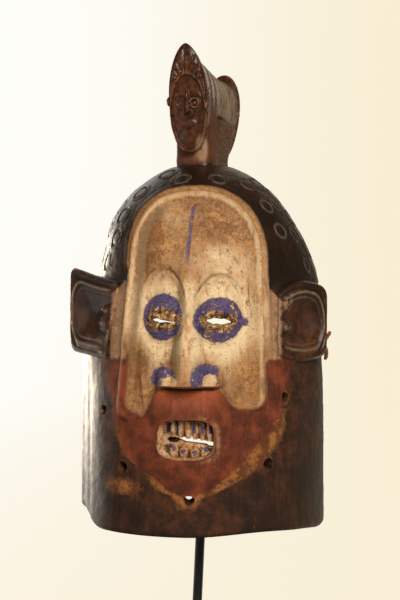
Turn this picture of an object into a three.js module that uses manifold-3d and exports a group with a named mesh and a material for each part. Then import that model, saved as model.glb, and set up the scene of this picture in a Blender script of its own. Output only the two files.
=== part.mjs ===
// A helmet mask carved from one block of wood, with ears and a two-headed crest, on a steel stand.
// Millimetres, +Z up. The mask looks along -Y, and +X is on the right of somebody who faces it.
// The origin is the middle of the underside of the stand's base plate.

import * as THREE from 'three';
import { mergeVertices } from 'three/addons/utils/BufferGeometryUtils.js';
import Module from 'manifold-3d';

const wasm = await Module();
wasm.setup();

// Mask body: a dome that is an oval in plan and stands on its rim
const RIM_HEIGHT = 130;
const HALF_WIDTH = 115;
const HALF_DEPTH_FRONT = 118;
const HALF_DEPTH_BACK = 135;
const DOME_HEIGHT = 336;
const SWELL_POWER = 4.35;
const LEAN = 4.2;
const LEAN_LEVEL = 227;
const LEAN_REACH = 70;
const WALL = 12;
const FACE_WALL = 20;

// Open back: an arch in the rear wall
const BACK_HALF_WIDTH = 78;
const BACK_SPRING = 150;
const BACK_TOP = 228;

// Face panel and its raised frame
const FRAME_X = 1.5;
const FRAME_HALF = 67;
const FRAME_SPRING = 235;
const FRAME_RISE = 76;
const BAND_WIDTH = 10;
const BAND_PROUD = 2;
const BEAD_PROUD = 3;
const BEAD_HALF_WIDTH = 4.5;
const PANEL_SINK = 8;
const FOREHEAD_SINK = 5;
const CHEEK_RISE = 3;
const JOWL_LEFT = 103;
const JOWL_RIGHT = 110;
const JOWL_REACH = 44;

// Eyes
const EYE_X = 26;
const EYE_HEIGHT = 190;
const EYE_RADIUS = 21.5;
const EYE_SWELL = 8;
const HOLLOW_SINK = 7;
const HOLLOW_HALF_WIDTH = 25;
const HOLLOW_ABOVE = 45;
const HOLLOW_BELOW = 27;
const SLIT_HALF_LENGTH = 11.5;
const SLIT_HALF_HEIGHT = 2.6;

// Nose
const NOSE_ROOT = 240;
const NOSE_BASE = 129;
const NOSE_PROUD = 23;
const NOSTRIL_X = 18;
const NOSTRIL_REACH = 13;
const NOSTRIL_SWELL = 13;

// Mouth, a bowl with two rows of teeth and a gap cut between them
const MOUTH_X = -2;
const MOUTH_HEIGHT = 83.5;
const MOUTH_HALF_WIDTH = 26;
const MOUTH_HALF_HEIGHT = 19;
const MOUTH_DEPTH = 15;
const MUZZLE_PROUD = 6;
const UPPER_TEETH = 6;
const LOWER_TEETH = 5;
const TOOTH_PITCH = 7.5;
const GAP_SLOPE = -0.17;

// Beard, a low relief whose lower edge is a parabola
const BEARD_LOW = 36;
const BEARD_CURVE = 0.0125;
const BEARD_PROUD = 1.5;

// Ears, a plate on each side
const EAR_ROOT_ANGLE = 41;
const EAR_TIP = new THREE.Vector2(119.5, -42);
const EAR_THICKNESS = 13;
const EAR_ROOT_PROUD = 2.5;
const EAR_RIM_WIDTH = 7;
const EAR_RIDGE_PLACE = 11;
const EAR_BOWL_EDGE = 14;
const EAR_BOWL = 8;

// Crest: two heads back to back on one neck
const CREST_CENTRE = new THREE.Vector2(2.2, 22);
const CREST_TURN = THREE.MathUtils.degToRad(10.4);
const CREST_BASE = 300;
const FACE_LEAN = 0.12;

// Tie holes through the wall: angle from the front in degrees, height, radius
const TIE_HOLES = [
  { angle: -43.7, height: 108, radius: 4 },
  { angle: -30.9, height: 59, radius: 4.5 },
  { angle: 0.4, height: 31.7, radius: 4.5 },
  { angle: 35.7, height: 62.5, radius: 4.5 },
  { angle: 45.3, height: 120, radius: 4 },
  { angle: -97, height: 154.5, radius: 3.5 },
  { angle: 97, height: 163, radius: 4.5 },
];

// Stand: base plate, rod and the fork that carries the dome from inside
const BASE_SIDE = 180;
const BASE_THICKNESS = 10;
const BASE_CORNER = 4;
const ROD_RADIUS = 4.5;
const ROD_FOOT_X = -6.5;
const ROD_TOP_X = 1.5;
const FORK_HEIGHT = 48;
const FORK_RADIUS = 3.5;
const FORK_CLEARANCE = 9;
const FORK_TOP = 296;
const TOUCH_GAP = 0.3;

// Fibre tie, a stiff cord end through the right rear hole
const TIE_RADIUS = 1.9;

// Lines of the body's surface: upright ones over the face, closest along its frame, and level ones
const FACE_LINES = [0, 5, 10, 15, 20, 26, 32, 38, 44, 49, 53, 57, 60.5, 64, 67.5, 74, 84];
const BACK_COLUMNS = 17;
const LEVELS = [
  0, 14, 27, 35, 43, 53, 64, 77, 89, 97, 103, 109, 115, 121, 126.5, 129.5, 134, 140, 148, 156, 164,
  172, 180, 188, 196, 204, 212, 220, 228, 236, 245, 255, 265, 275, 284, 291, 296, 300, 304, 308, 312,
  317, 324, 330, 335,
];
const FINEST = 0.17;

const clamp = (value, low, high) => Math.min(high, Math.max(low, value));
const toRadians = THREE.MathUtils.degToRad;
const mix = THREE.MathUtils.lerp;

// A soft step from 0 at start to 1 at end; start may be the larger.
function step(start, end, value) {
  const t = clamp((value - start) / (end - start), 0, 1);
  return t * t * (3 - 2 * t);
}

// A rounded ridge, 1 on its line and 0 at a half width away.
function ridge(distance, halfWidth) {
  const t = clamp(distance / halfWidth, -1, 1);
  return 0.5 * (1 + Math.cos(Math.PI * t));
}

// The smaller of two distances, rounded where they meet.
function softMin(a, b, radius) {
  const h = clamp(0.5 + (0.5 * (b - a)) / radius, 0, 1);
  return mix(b, a, h) - radius * h * (1 - h);
}

// Values read off a short list of [place, value] knots by smooth steps.
function alongKnots(knots, place) {
  if (place <= knots[0][0]) return knots[0][1];
  for (let i = 1; i < knots.length; i += 1) {
    const [endPlace, endValue] = knots[i];
    const [startPlace, startValue] = knots[i - 1];
    if (place <= endPlace) {
      return mix(startValue, endValue, step(startPlace, endPlace, place));
    }
  }
  return knots[knots.length - 1][1];
}

// Geometry to solid and back

function toSolid(geometry) {
  const bare = geometry.clone();
  bare.deleteAttribute('normal');
  bare.deleteAttribute('uv');
  const merged = mergeVertices(bare, 1e-4);
  return new wasm.Manifold(
    new wasm.Mesh({
      numProp: 3,
      vertProperties: new Float32Array(merged.attributes.position.array),
      triVerts: new Uint32Array(merged.index.array),
    }),
  );
}

function toGeometry(solid) {
  const mesh = solid.getMesh();
  const geometry = new THREE.BufferGeometry();
  geometry.setAttribute('position', new THREE.BufferAttribute(mesh.vertProperties, 3));
  geometry.setIndex(new THREE.BufferAttribute(mesh.triVerts, 1));
  geometry.computeVertexNormals();
  return geometry;
}

// Closes a stack of rings into one solid, with its faces turned outwards. Each four-sided cell is
// folded along its shorter diagonal, so that carved edges stay clean whichever way they run.
function solidOfRings(rings) {
  const count = rings[0].length;
  const points = rings.flat();
  const faces = [];
  for (let i = 0; i + 1 < rings.length; i += 1) {
    for (let j = 0; j < count; j += 1) {
      const a = i * count + j;
      const b = i * count + ((j + 1) % count);
      const c = b + count;
      const d = a + count;
      const folded = points[a].distanceTo(points[c]) < points[b].distanceTo(points[d]);
      faces.push(...(folded ? [a, b, c, a, c, d] : [a, b, d, b, c, d]));
    }
  }
  const middleOf = (ring) => {
    const sum = ring.reduce((total, point) => total.add(point), new THREE.Vector3());
    return sum.divideScalar(ring.length);
  };
  const first = points.length;
  points.push(middleOf(rings[0]), middleOf(rings[rings.length - 1]));
  const topStart = (rings.length - 1) * count;
  for (let j = 0; j < count; j += 1) {
    const next = (j + 1) % count;
    faces.push(first, next, j);
    faces.push(first + 1, topStart + j, topStart + next);
  }
  const geometry = new THREE.BufferGeometry().setFromPoints(points);
  geometry.setIndex(faces);
  const solid = toSolid(geometry);
  if (solid.volume() > 0) return solid;
  geometry.setIndex(faces.reverse());
  return toSolid(geometry);
}

// Mask body

function domeSwell(height, top) {
  return Math.sqrt(Math.max(0, 1 - (Math.max(0, height) / top) ** SWELL_POWER));
}

// The block bulges to one side at ear level.
function lean(height) {
  return LEAN * ridge(height - LEAN_LEVEL, LEAN_REACH);
}

// A point of the dome's surface, or of a dome that lies inside it by inset.
function domePoint(angle, height, inset = 0, topInset = inset) {
  const halfDepth = Math.abs(angle) < Math.PI / 2 ? HALF_DEPTH_FRONT : HALF_DEPTH_BACK;
  const reach = domeSwell(height, DOME_HEIGHT - topInset);
  const across = Math.sin(angle) / (HALF_WIDTH - inset);
  const along = Math.cos(angle) / (halfDepth - inset);
  const radius = reach / Math.hypot(across, along);
  return new THREE.Vector3(radius * Math.sin(angle) + lean(height), -radius * Math.cos(angle), height);
}

// The dome is where (x/a)^2 + (y/b)^2 + (z/h)^power is 1, so its normal is that sum's gradient.
function domeNormal(point) {
  const halfDepth = point.y < 0 ? HALF_DEPTH_FRONT : HALF_DEPTH_BACK;
  const height = Math.max(0, point.z);
  return new THREE.Vector3(
    (2 * (point.x - lean(point.z))) / HALF_WIDTH ** 2,
    (2 * point.y) / halfDepth ** 2,
    (SWELL_POWER * height ** (SWELL_POWER - 1)) / DOME_HEIGHT ** SWELL_POWER,
  ).normalize();
}

// How far a place lies inside the outer edge of the frame round the face.
function insideFrame(x, z) {
  const across = x - FRAME_X;
  if (z < FRAME_SPRING) return FRAME_HALF - Math.abs(across);
  const reach = Math.hypot(across, z - FRAME_SPRING);
  const share = Math.hypot(across / FRAME_HALF, (z - FRAME_SPRING) / FRAME_RISE);
  return share < 1e-6 ? FRAME_HALF : reach / share - reach;
}

// The lower edge of the pale panel: under the nose in the middle, down to a jowl on each side.
function panelFoot(x) {
  const jowl = x < 0 ? JOWL_LEFT : JOWL_RIGHT;
  return mix(NOSE_BASE - 2, jowl, step(22, JOWL_REACH, Math.abs(x)));
}

function panelInside(x, z) {
  return softMin(insideFrame(x, z) - BAND_WIDTH, z - panelFoot(x), 14);
}

function eyeRelief(x, z) {
  const side = Math.sign(x) || 1;
  const fromEye = x - side * EYE_X;
  const fromLevel = z - EYE_HEIGHT;
  const tall = fromLevel > 0 ? HOLLOW_ABOVE : HOLLOW_BELOW;
  const hollow = step(1.05, 0.72, Math.hypot(fromEye / HOLLOW_HALF_WIDTH, fromLevel / tall));
  const ball = Math.min(1, Math.hypot(fromEye, fromLevel) / EYE_RADIUS);
  return EYE_SWELL * (1 - ball * ball) - HOLLOW_SINK * hollow;
}

function noseRelief(x, z) {
  const down = clamp((NOSE_ROOT - z) / (NOSE_ROOT - NOSE_BASE), 0, 1);
  const under = step(NOSE_BASE - 2.5, NOSE_BASE + 0.5, z);
  const middle = -3 * (1 - down);
  const halfWidth = mix(8, 19, down ** 1.5);
  const flank = Math.abs(x - middle) / halfWidth;
  const bridge = flank < 1 ? (1 - flank * flank) ** 0.8 : 0;
  const nostril = Math.hypot((Math.abs(x) - NOSTRIL_X) / NOSTRIL_REACH, (z - NOSE_BASE - 4) / 16);
  const wing = nostril < 1 ? NOSTRIL_SWELL * (1 - nostril * nostril) ** 0.7 : 0;
  const height = NOSE_PROUD * down ** 1.25 + 2 * step(0, 0.1, down);
  return under * Math.max(bridge * height, wing);
}

function beardFoot(x) {
  return BEARD_LOW + BEARD_CURVE * x * x;
}

// Height of the carving over the plain dome, at the place x, z of the front. The frame's edges are
// softer round its arch than down its straight sides.
function faceRelief(x, z) {
  const soft = 4 * step(238, 275, z);
  const band = BAND_PROUD * step(-0.5 - soft, 3.5 + soft, insideFrame(x, z)) * step(130, 175, z);
  const beaded = Math.max(step(28, 46, Math.abs(x)), step(150, 200, z)) * step(98, 106, z);
  const bead = BEAD_PROUD * ridge(panelInside(x, z), BEAD_HALF_WIDTH + soft) * beaded;
  const inPanel = step(-1 - soft, 6 + 2 * soft, panelInside(x, z));
  const cheek = CHEEK_RISE * step(6, 30, panelInside(x, z));
  const sink = mix(PANEL_SINK - cheek, FOREHEAD_SINK, step(215, 290, z));
  const muzzle = Math.hypot((x - MOUTH_X) / 50, (z - 88) / 50);
  const lips = muzzle < 1 ? MUZZLE_PROUD * (1 - muzzle * muzzle) ** 0.8 : 0;
  const beard = BEARD_PROUD * step(-3, 2, z - beardFoot(x)) * step(84, 74, Math.abs(x));
  const outside = lips + beard * step(150, 130, z) + band;
  const inside = eyeRelief(x, z) - sink;
  return mix(outside, inside, inPanel) + bead + noseRelief(x, z);
}

// The worn rim: how far it is lifted, round which turn from the front, and over how many degrees.
const RIM_LIFTS = [
  { lift: 8, turn: -84, reach: 34 },
  { lift: 3, turn: 32, reach: 34 },
  { lift: -3.5, turn: 82, reach: 24 },
];
const RIM_FADE = 30;

function rimLift(angle) {
  const degrees = THREE.MathUtils.radToDeg(angle);
  return RIM_LIFTS.reduce((sum, { lift, turn, reach }) => sum + lift * ridge(degrees - turn, reach), 0);
}

// A hand's breadth over the left ear the wall is cut flatter.
const SIDE_FLAT = { depth: 3.5, turn: -82, reach: 40, height: 248, halfHeight: 38 };

function sideFlat(angle, height) {
  const { depth, turn, reach, height: middle, halfHeight } = SIDE_FLAT;
  const degrees = THREE.MathUtils.radToDeg(angle);
  return depth * ridge(degrees - turn, reach) * ridge(height - middle, halfHeight);
}

function maskPoint(angle, level) {
  const height = level + rimLift(angle) * step(RIM_FADE, 0, level);
  const point = domePoint(angle, height);
  const relief = (point.y < 0 ? faceRelief(point.x, point.z) : 0) - sideFlat(angle, height);
  return point.clone().addScaledVector(domeNormal(point), relief);
}

// How far in the face lines lean above the spring of the frame, so that they follow its arch.
function faceLean(height) {
  if (height < FRAME_SPRING) return 1;
  const rise = Math.min(1, (height - FRAME_SPRING) / FRAME_RISE);
  return Math.max(0.45, Math.sqrt(1 - rise * rise));
}

// The angle from the front at which a face line, left or right of the frame's middle, crosses a level.
function lineAngle(line, height) {
  const level = Math.min(height, FRAME_SPRING + 0.9 * FRAME_RISE);
  const across = (line * faceLean(level) + FRAME_X - lean(level)) / HALF_WIDTH;
  const along = Math.sqrt(domeSwell(level, DOME_HEIGHT) ** 2 - across * across);
  return Math.atan2(across * HALF_WIDTH, along * HALF_DEPTH_FRONT);
}

// Angles of all points of one level: the face lines, then even steps round the back.
function levelAngles(height) {
  const right = FACE_LINES.map((line) => lineAngle(line, height));
  const left = FACE_LINES.slice(1).reverse().map((line) => lineAngle(-line, height));
  const round = [];
  for (let i = 1; i < BACK_COLUMNS; i += 1) {
    const angle = mix(right[right.length - 1], 2 * Math.PI + left[0], i / BACK_COLUMNS);
    round.push(angle > Math.PI ? angle - 2 * Math.PI : angle);
  }
  return [...left, ...right, ...round];
}

function bodySolid() {
  const rings = LEVELS.map((height) => levelAngles(height).map((angle) => maskPoint(angle, height)));
  return solidOfRings(rings);
}

// The hollow is a smaller dome, flatter behind the face, where the carving needs wood.
function hollowPoint(angle, height, gap) {
  const facing = step(toRadians(58), toRadians(34), Math.abs(angle));
  const beside = step(20, 55, height) * step(305, 260, height);
  const wall = mix(WALL, FACE_WALL, facing * beside) + gap;
  return domePoint(angle, height, wall, WALL + gap);
}

function hollowSolid(gap = 0) {
  const columns = 28;
  const top = DOME_HEIGHT - WALL - gap;
  const rings = [];
  for (const share of [-0.02, 0.08, 0.18, 0.3, 0.42, 0.54, 0.66, 0.76, 0.84, 0.9, 0.945, 0.975, 0.992]) {
    const ring = [];
    for (let i = 0; i < columns; i += 1) {
      const angle = 2 * Math.PI * ((i + 0.5) / columns - 0.5);
      ring.push(hollowPoint(angle, share * top, gap));
    }
    rings.push(ring);
  }
  return solidOfRings(rings);
}

// A prism along Y over an outline in X and Z, from the y nearest the viewer to the far one.
function prismAlongY(outline, nearY, farY) {
  const shape = new THREE.Shape(outline.map(([x, z]) => new THREE.Vector2(x, z)));
  const geometry = new THREE.ExtrudeGeometry(shape, { depth: farY - nearY, bevelEnabled: false });
  geometry.rotateX(Math.PI / 2);
  geometry.translate(0, farY, 0);
  return toSolid(geometry);
}

function backOpening() {
  const outline = [[-BACK_HALF_WIDTH, -10], [BACK_HALF_WIDTH, -10]];
  const arcSteps = 14;
  for (let i = 0; i <= arcSteps; i += 1) {
    const turn = (Math.PI * i) / arcSteps;
    const rise = BACK_TOP - BACK_SPRING;
    outline.push([BACK_HALF_WIDTH * Math.cos(turn), BACK_SPRING + rise * Math.sin(turn)]);
  }
  return prismAlongY(outline, 40, 160);
}

function tieHole({ angle, height, radius }) {
  const turn = toRadians(angle);
  const wallPoint = domePoint(turn, height);
  const geometry = new THREE.CylinderGeometry(radius, radius, 60, 10);
  geometry.rotateZ(Math.PI / 2);
  geometry.rotateZ(turn - Math.PI / 2);
  geometry.translate(wallPoint.x, wallPoint.y, wallPoint.z);
  return toSolid(geometry);
}

// An eye slit is a lens, pointed at both corners.
function eyeSlit(side) {
  const outline = [];
  const steps = 6;
  const centre = side * 24.5 + (side < 0 ? 0.5 : 0);
  const level = EYE_HEIGHT - 2;
  for (let i = 0; i < 2 * steps; i += 1) {
    const turn = (Math.PI * i) / steps;
    const across = Math.cos(turn);
    const open = Math.sign(Math.sin(turn)) * Math.abs(Math.sin(turn)) ** 1.4;
    outline.push([centre + SLIT_HALF_LENGTH * across, level + SLIT_HALF_HEIGHT * open]);
  }
  return prismAlongY(outline, -140, -60);
}

// Rounded rectangle with its corners on a superellipse, at one depth of the mouth bowl.
function mouthRing(depth, shrink, shift) {
  const steps = 24;
  const ring = [];
  for (let i = 0; i < steps; i += 1) {
    const turn = (2 * Math.PI * i) / steps;
    const rounded = (value) => Math.sign(value) * Math.abs(value) ** 0.55;
    ring.push(new THREE.Vector3(
      MOUTH_X + shift + (MOUTH_HALF_WIDTH - shrink) * rounded(Math.cos(turn)),
      depth,
      MOUTH_HEIGHT + (MOUTH_HALF_HEIGHT - 0.35 * shrink) * rounded(Math.sin(turn)),
    ));
  }
  return ring;
}

const LIP_Y = -(HALF_DEPTH_FRONT + MUZZLE_PROUD);
const GUM_Y = LIP_Y + MOUTH_DEPTH;

function mouthBowl() {
  return solidOfRings([
    mouthRing(GUM_Y, 5, 2.5),
    mouthRing(GUM_Y - 5, 3, 1.5),
    mouthRing(LIP_Y + 3, 0.5, 0),
    mouthRing(LIP_Y - 12, -1, 0),
  ]);
}

const gapLevel = (x) => MOUTH_HEIGHT - 0.5 + GAP_SLOPE * (x - 3);

function mouthGap() {
  const left = MOUTH_X - 21;
  const right = MOUTH_X + 23;
  const outline = [
    [left, gapLevel(left) - 4],
    [left + 6, gapLevel(left + 6) - 6.5],
    [right - 4, gapLevel(right - 4) - 6.5],
    [right, gapLevel(right) - 3],
    [right, gapLevel(right) + 3],
    [left + 2, gapLevel(left + 2) + 2],
  ];
  return prismAlongY(outline, -140, -60);
}

// One tooth: a short bar with a rounded front, its tip narrowed for the lower row.
function tooth(x, foot, tip, halfWidth, tipShare) {
  const rings = [];
  const sections = [[foot, 1], [mix(foot, tip, 0.75), 1], [tip, tipShare]];
  const ordered = foot < tip ? sections : sections.reverse();
  for (const [height, share] of ordered) {
    const ring = [];
    const sides = 8;
    for (let i = 0; i < sides; i += 1) {
      const turn = (2 * Math.PI * (i + 0.5)) / sides;
      const depth = GUM_Y + 1.5 + 4.5 * Math.sin(turn) * Math.sqrt(share);
      ring.push(new THREE.Vector3(x + halfWidth * share * Math.cos(turn), depth, height));
    }
    rings.push(ring);
  }
  return solidOfRings(rings);
}

function teeth() {
  const rows = [];
  for (let i = 0; i < UPPER_TEETH; i += 1) {
    const x = MOUTH_X - 15 + TOOTH_PITCH * i;
    rows.push(tooth(x, MOUTH_HEIGHT + 17, gapLevel(x) + 1.8, 3.3, 0.7));
  }
  for (let i = 0; i < LOWER_TEETH; i += 1) {
    const x = MOUTH_X - 12 + TOOTH_PITCH * 1.12 * i;
    rows.push(tooth(x, MOUTH_HEIGHT - 17, gapLevel(x) - 2.2, 3.6, 0.3));
  }
  return rows;
}

// Ears

// Upper and lower outline of an ear, over the share of its width from root to tip.
const EAR_OUTLINES = {
  left: { top: [[0, 222], [0.3, 226.5], [0.6, 231], [0.92, 236]], foot: [[0, 151], [0.5, 155], [1, 159]] },
  right: { top: [[0, 214], [0.4, 224], [1, 218]], foot: [[0, 156], [0.5, 152], [1, 154]] },
};
const EAR_ACROSS = [-3, 0, 4, 8, 13, 20, 28, 36, 43, 48, 51, 54, 58, 62];
const EAR_UP = [0, 2.5, 6.5, 9.5, 11.5, 14.5, 20, 28];

// Height of an ear's front over its plate; edge is the distance in from its free edges.
function earRelief(edge, across, up) {
  const rim = 3 * ridge(edge - 0.6 * EAR_RIM_WIDTH, EAR_RIM_WIDTH / 1.6);
  const bead = 3.2 * ridge(edge - EAR_RIDGE_PLACE, 2.6);
  const bowl = EAR_BOWL * step(EAR_RIDGE_PLACE, EAR_BOWL_EDGE + 6, edge) * step(4, 16, across);
  const lobe = Math.max(ridge(up - 0.66, 0.17), ridge(up - 0.38, 0.17));
  const tragus = 8 * step(5 + 12 * lobe, 1 + 7 * lobe, across) * step(10, 16, edge);
  const rounding = 3.5 * step(3, 0, edge);
  return rim + bead - bowl + tragus - rounding;
}

// The front of an ear is a sheet over its plate and the back is flat; the root lies in the wall.
function earSolid(side) {
  const outline = side < 0 ? EAR_OUTLINES.left : EAR_OUTLINES.right;
  const rootOf = (z) => {
    const place = domePoint(side * toRadians(EAR_ROOT_ANGLE), z);
    return new THREE.Vector2(side * place.x, place.y);
  };
  const width = rootOf(190).distanceTo(EAR_TIP);
  const rings = [];
  for (const across of EAR_ACROSS) {
    const share = clamp((across / EAR_ACROSS[EAR_ACROSS.length - 1]), 0, 1);
    const fromTip = (1 - share) * width;
    const squeeze = 2.5 * step(6, 0, fromTip);
    const top = alongKnots(outline.top, share) - squeeze;
    const foot = alongKnots(outline.foot, share) + squeeze;
    const heights = [
      ...EAR_UP.map((rise) => foot + rise),
      (top + foot) / 2,
      ...EAR_UP.map((drop) => top - drop).reverse(),
    ];
    const placeAt = (z, depth) => {
      const root = rootOf(z);
      const along = new THREE.Vector2().subVectors(EAR_TIP, root).normalize();
      const outward = new THREE.Vector2(-along.y, along.x).negate();
      const flat = root.addScaledVector(along, share * root.distanceTo(EAR_TIP));
      flat.addScaledVector(outward, depth);
      if (across < 0) flat.multiplyScalar(0.86);
      return new THREE.Vector3(side * flat.x, flat.y, z);
    };
    const front = heights.map((z) => {
      const edge = softMin(softMin(top - z, z - foot, 8), fromTip, 8);
      const up = (z - foot) / (top - foot);
      return placeAt(z, EAR_ROOT_PROUD * (1 - share) + earRelief(edge, across, up));
    });
    const thickness = EAR_THICKNESS * (1 - 0.35 * share);
    const back = [top - 3, (top + foot) / 2, foot + 3].map((z) => placeAt(z, -thickness));
    rings.push([...front, ...back]);
  }
  return solidOfRings(rings);
}

// Crest

// Sections across the double head: distance from its middle with the front positive, top, underside,
// half width, and the level at which it is widest.
const CREST_SECTIONS = [
  [-63, 431, 346, 15.5, 400],
  [-60, 434, 344, 17.2, 400],
  [-55, 433, 345, 17.2, 400],
  [-52, 426, 350, 15.6, 400],
  [-42, 424, 379, 15.2, 402],
  [-20, 423, 383, 15, 402],
  [5, 426, 382, 15.2, 400],
  [20, 428, 372, 16, 398],
  [34, 430, 352, 17, 395],
  [54, 434, 346, 18.4, 393],
  [60, 441, 343, 18.2, 393],
  [64, 441.5, 342.5, 17.6, 393],
];
const CREST_SIDES = 18;
const CREST_STATIONS = [-63, -60, -55, -52, -42, -28, -8, 10, 22, 34, 46, 55, 60, 64];
const CREST_ENDS = {
  front: { end: 64, level: 378, reach: 34, half: 16.8 },
  rear: { end: -63, level: 386, reach: 34, half: 13.5 },
};

// Crest coordinates: forward along the heads' axis, sideways to its right, and height.
function crestPlace(forward, sideways, height) {
  const cos = Math.cos(CREST_TURN);
  const sin = Math.sin(CREST_TURN);
  return new THREE.Vector3(
    CREST_CENTRE.x - forward * sin + sideways * cos,
    CREST_CENTRE.y - forward * cos - sideways * sin,
    height,
  );
}

// Both faces tip forwards, so that the top of an end stands out over its chin.
function crestLean(forward, height) {
  return step(36, 60, Math.abs(forward)) * Math.sign(forward) * FACE_LEAN * (height - 385);
}

// Sideways and height of one point of a section: an ellipse, fuller or leaner above and below.
function crestOutline(forward, turn) {
  const [top, under, half, widest] = [1, 2, 3, 4].map((column) => (
    alongKnots(CREST_SECTIONS.map((section) => [section[0], section[column]]), forward)
  ));
  const upper = mix(1, 1.2, step(30, 60, forward));
  const lower = mix(mix(0.45, 0.72, step(14, 50, forward)), 1.3, step(-44, -56, forward));
  const up = Math.cos(turn);
  const side = Math.sin(turn);
  return {
    across: half * Math.sign(side) * Math.abs(side) ** (up > 0 ? upper : lower),
    height: widest + (up > 0 ? top - widest : widest - under) * up,
  };
}

function crestRing(pointAt) {
  const ring = [];
  for (let i = 0; i < CREST_SIDES; i += 1) ring.push(pointAt((2 * Math.PI * i) / CREST_SIDES));
  return ring;
}

function crestSection(forward) {
  return crestRing((turn) => {
    const { across, height } = crestOutline(forward, turn);
    return crestPlace(forward + crestLean(forward, height), across, height);
  });
}

// The oval face's thin rim. Above it the end swells out to a leaf-shaped cap.
function crestRim({ end, level, reach, half }, share) {
  return crestRing((turn) => {
    const edge = crestOutline(end, turn);
    const across = mix(edge.across, half * Math.sin(turn), share);
    const height = mix(edge.height, level + reach * Math.cos(turn), share);
    const leaf = 2 * Math.sin(Math.PI * share) * step(404, 414, height);
    const out = Math.sign(end) * (leaf + 1.1 * step(0.8, 1, share));
    return crestPlace(end + crestLean(end, height) + out, across, height);
  });
}

// One ring of a small face: a sunken oval field with a brow, a nose and a mouth on it.
function crestFaceRing({ end, level, reach, half }, scale) {
  return crestRing((turn) => {
    const across = half * scale * Math.sin(turn);
    const up = reach * scale * Math.cos(turn);
    const brow = 1.6 * ridge(up - 16, 6);
    const nose = 3.4 * ridge(across, 5) * step(16, 8, Math.abs(up - 6));
    const mouth = 2 * ridge(up + 9, 6) * step(12, 5, Math.abs(across));
    const field = step(1, 0.86, scale) * (Math.max(brow, nose, mouth) - 2) + 1.2 * (1 - scale ** 2);
    const height = level + up;
    return crestPlace(end + crestLean(end, height) + Math.sign(end) * field, across, height);
  });
}

function crestHeads() {
  const shares = [0.5, 1];
  const scales = [0.88, 0.66, 0.42, 0.2];
  return solidOfRings([
    ...scales.map((scale) => crestFaceRing(CREST_ENDS.rear, scale)).reverse(),
    ...shares.map((share) => crestRim(CREST_ENDS.rear, share)).reverse(),
    ...CREST_STATIONS.map(crestSection),
    ...shares.map((share) => crestRim(CREST_ENDS.front, share)),
    ...scales.map((scale) => crestFaceRing(CREST_ENDS.front, scale)),
  ]);
}

// A block of the neck, with rounded corners, wider at its foot, where it runs into the dome.
function crestNeck({ back, front, half, top }) {
  const levels = [[CREST_BASE, 1.2], [322, 1.12], [334, 1.02], [344, 1], [top, 1]];
  const sides = 16;
  const rings = levels.map(([height, spread]) => {
    const ring = [];
    for (let i = 0; i < sides; i += 1) {
      const turn = (2 * Math.PI * (i + 0.5)) / sides;
      const square = (value) => Math.sign(value) * Math.abs(value) ** 0.38;
      const forward = (front + back) / 2 + ((front - back) / 2) * spread * square(Math.sin(turn));
      ring.push(crestPlace(forward, half * spread * square(Math.cos(turn)), height));
    }
    return ring;
  });
  return solidOfRings(rings);
}

function crestEar({ forward, sideways, height, radii: [wide, deep, tall] }) {
  const geometry = new THREE.SphereGeometry(1, 7, 4);
  geometry.scale(wide, deep, tall);
  const place = crestPlace(forward, sideways, height);
  geometry.translate(place.x, place.y, place.z);
  return toSolid(geometry);
}

// The heads share one neck, thick under the front head and leaner behind.
const CREST_NECKS = [
  { back: 14, front: 50, half: 16.6, top: 392 },
  { back: -38, front: 22, half: 13.4, top: 396 },
];
const CREST_EARS = [
  { forward: 60, sideways: -18.6, height: 390, radii: [3, 4, 4.5] },
  { forward: 61, sideways: 17, height: 385, radii: [2.6, 4, 5.5] },
  { forward: -57, sideways: -15, height: 392, radii: [3, 4, 5] },
  { forward: -57, sideways: 15, height: 392, radii: [3, 4, 5] },
];

function crestParts() {
  return [crestHeads(), ...CREST_NECKS.map(crestNeck), ...CREST_EARS.map(crestEar)];
}

function maskSolid() {
  let solid = bodySolid();
  for (const added of [earSolid(-1), earSolid(1), ...crestParts()]) solid = solid.add(added);
  const cuts = [hollowSolid(), backOpening(), mouthBowl(), mouthGap(), eyeSlit(-1), eyeSlit(1)];
  for (const cut of cuts) solid = solid.subtract(cut);
  for (const row of teeth()) solid = solid.add(row);
  for (const hole of TIE_HOLES) solid = solid.subtract(tieHole(hole));
  return solid.simplify(FINEST);
}

// Stand

function roundBar(points, radius, steps) {
  const places = points.map((place) => new THREE.Vector3(...place));
  const path = new THREE.CatmullRomCurve3(places, false, 'centripetal');
  const section = new THREE.Shape();
  section.absarc(0, 0, radius, 0, 2 * Math.PI);
  const geometry = new THREE.ExtrudeGeometry(section, { steps, extrudePath: path, curveSegments: 4 });
  return toSolid(geometry);
}

// An arm runs out to the wall, up beside it, and ends against the inside of the dome.
function forkArm(side) {
  const insideWall = (height) => (HALF_WIDTH - WALL) * domeSwell(height, DOME_HEIGHT - WALL);
  const bend = 14;
  const beside = insideWall(FORK_HEIGHT) - FORK_CLEARANCE;
  const points = [[ROD_TOP_X, 0, FORK_HEIGHT], [side * (beside - bend), 0, FORK_HEIGHT]];
  points.push([side * (beside - 0.3 * bend), 0, FORK_HEIGHT + 0.3 * bend]);
  for (const height of [FORK_HEIGHT + bend, 120, 180, 225, 262]) {
    points.push([side * (insideWall(height) - FORK_CLEARANCE), 0, height]);
  }
  points.push([side * insideWall(FORK_TOP), 0, FORK_TOP]);
  const arm = roundBar(points, FORK_RADIUS, 16);
  return arm.intersect(hollowSolid(TOUCH_GAP)).translate([0, 0, RIM_HEIGHT]);
}

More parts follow.
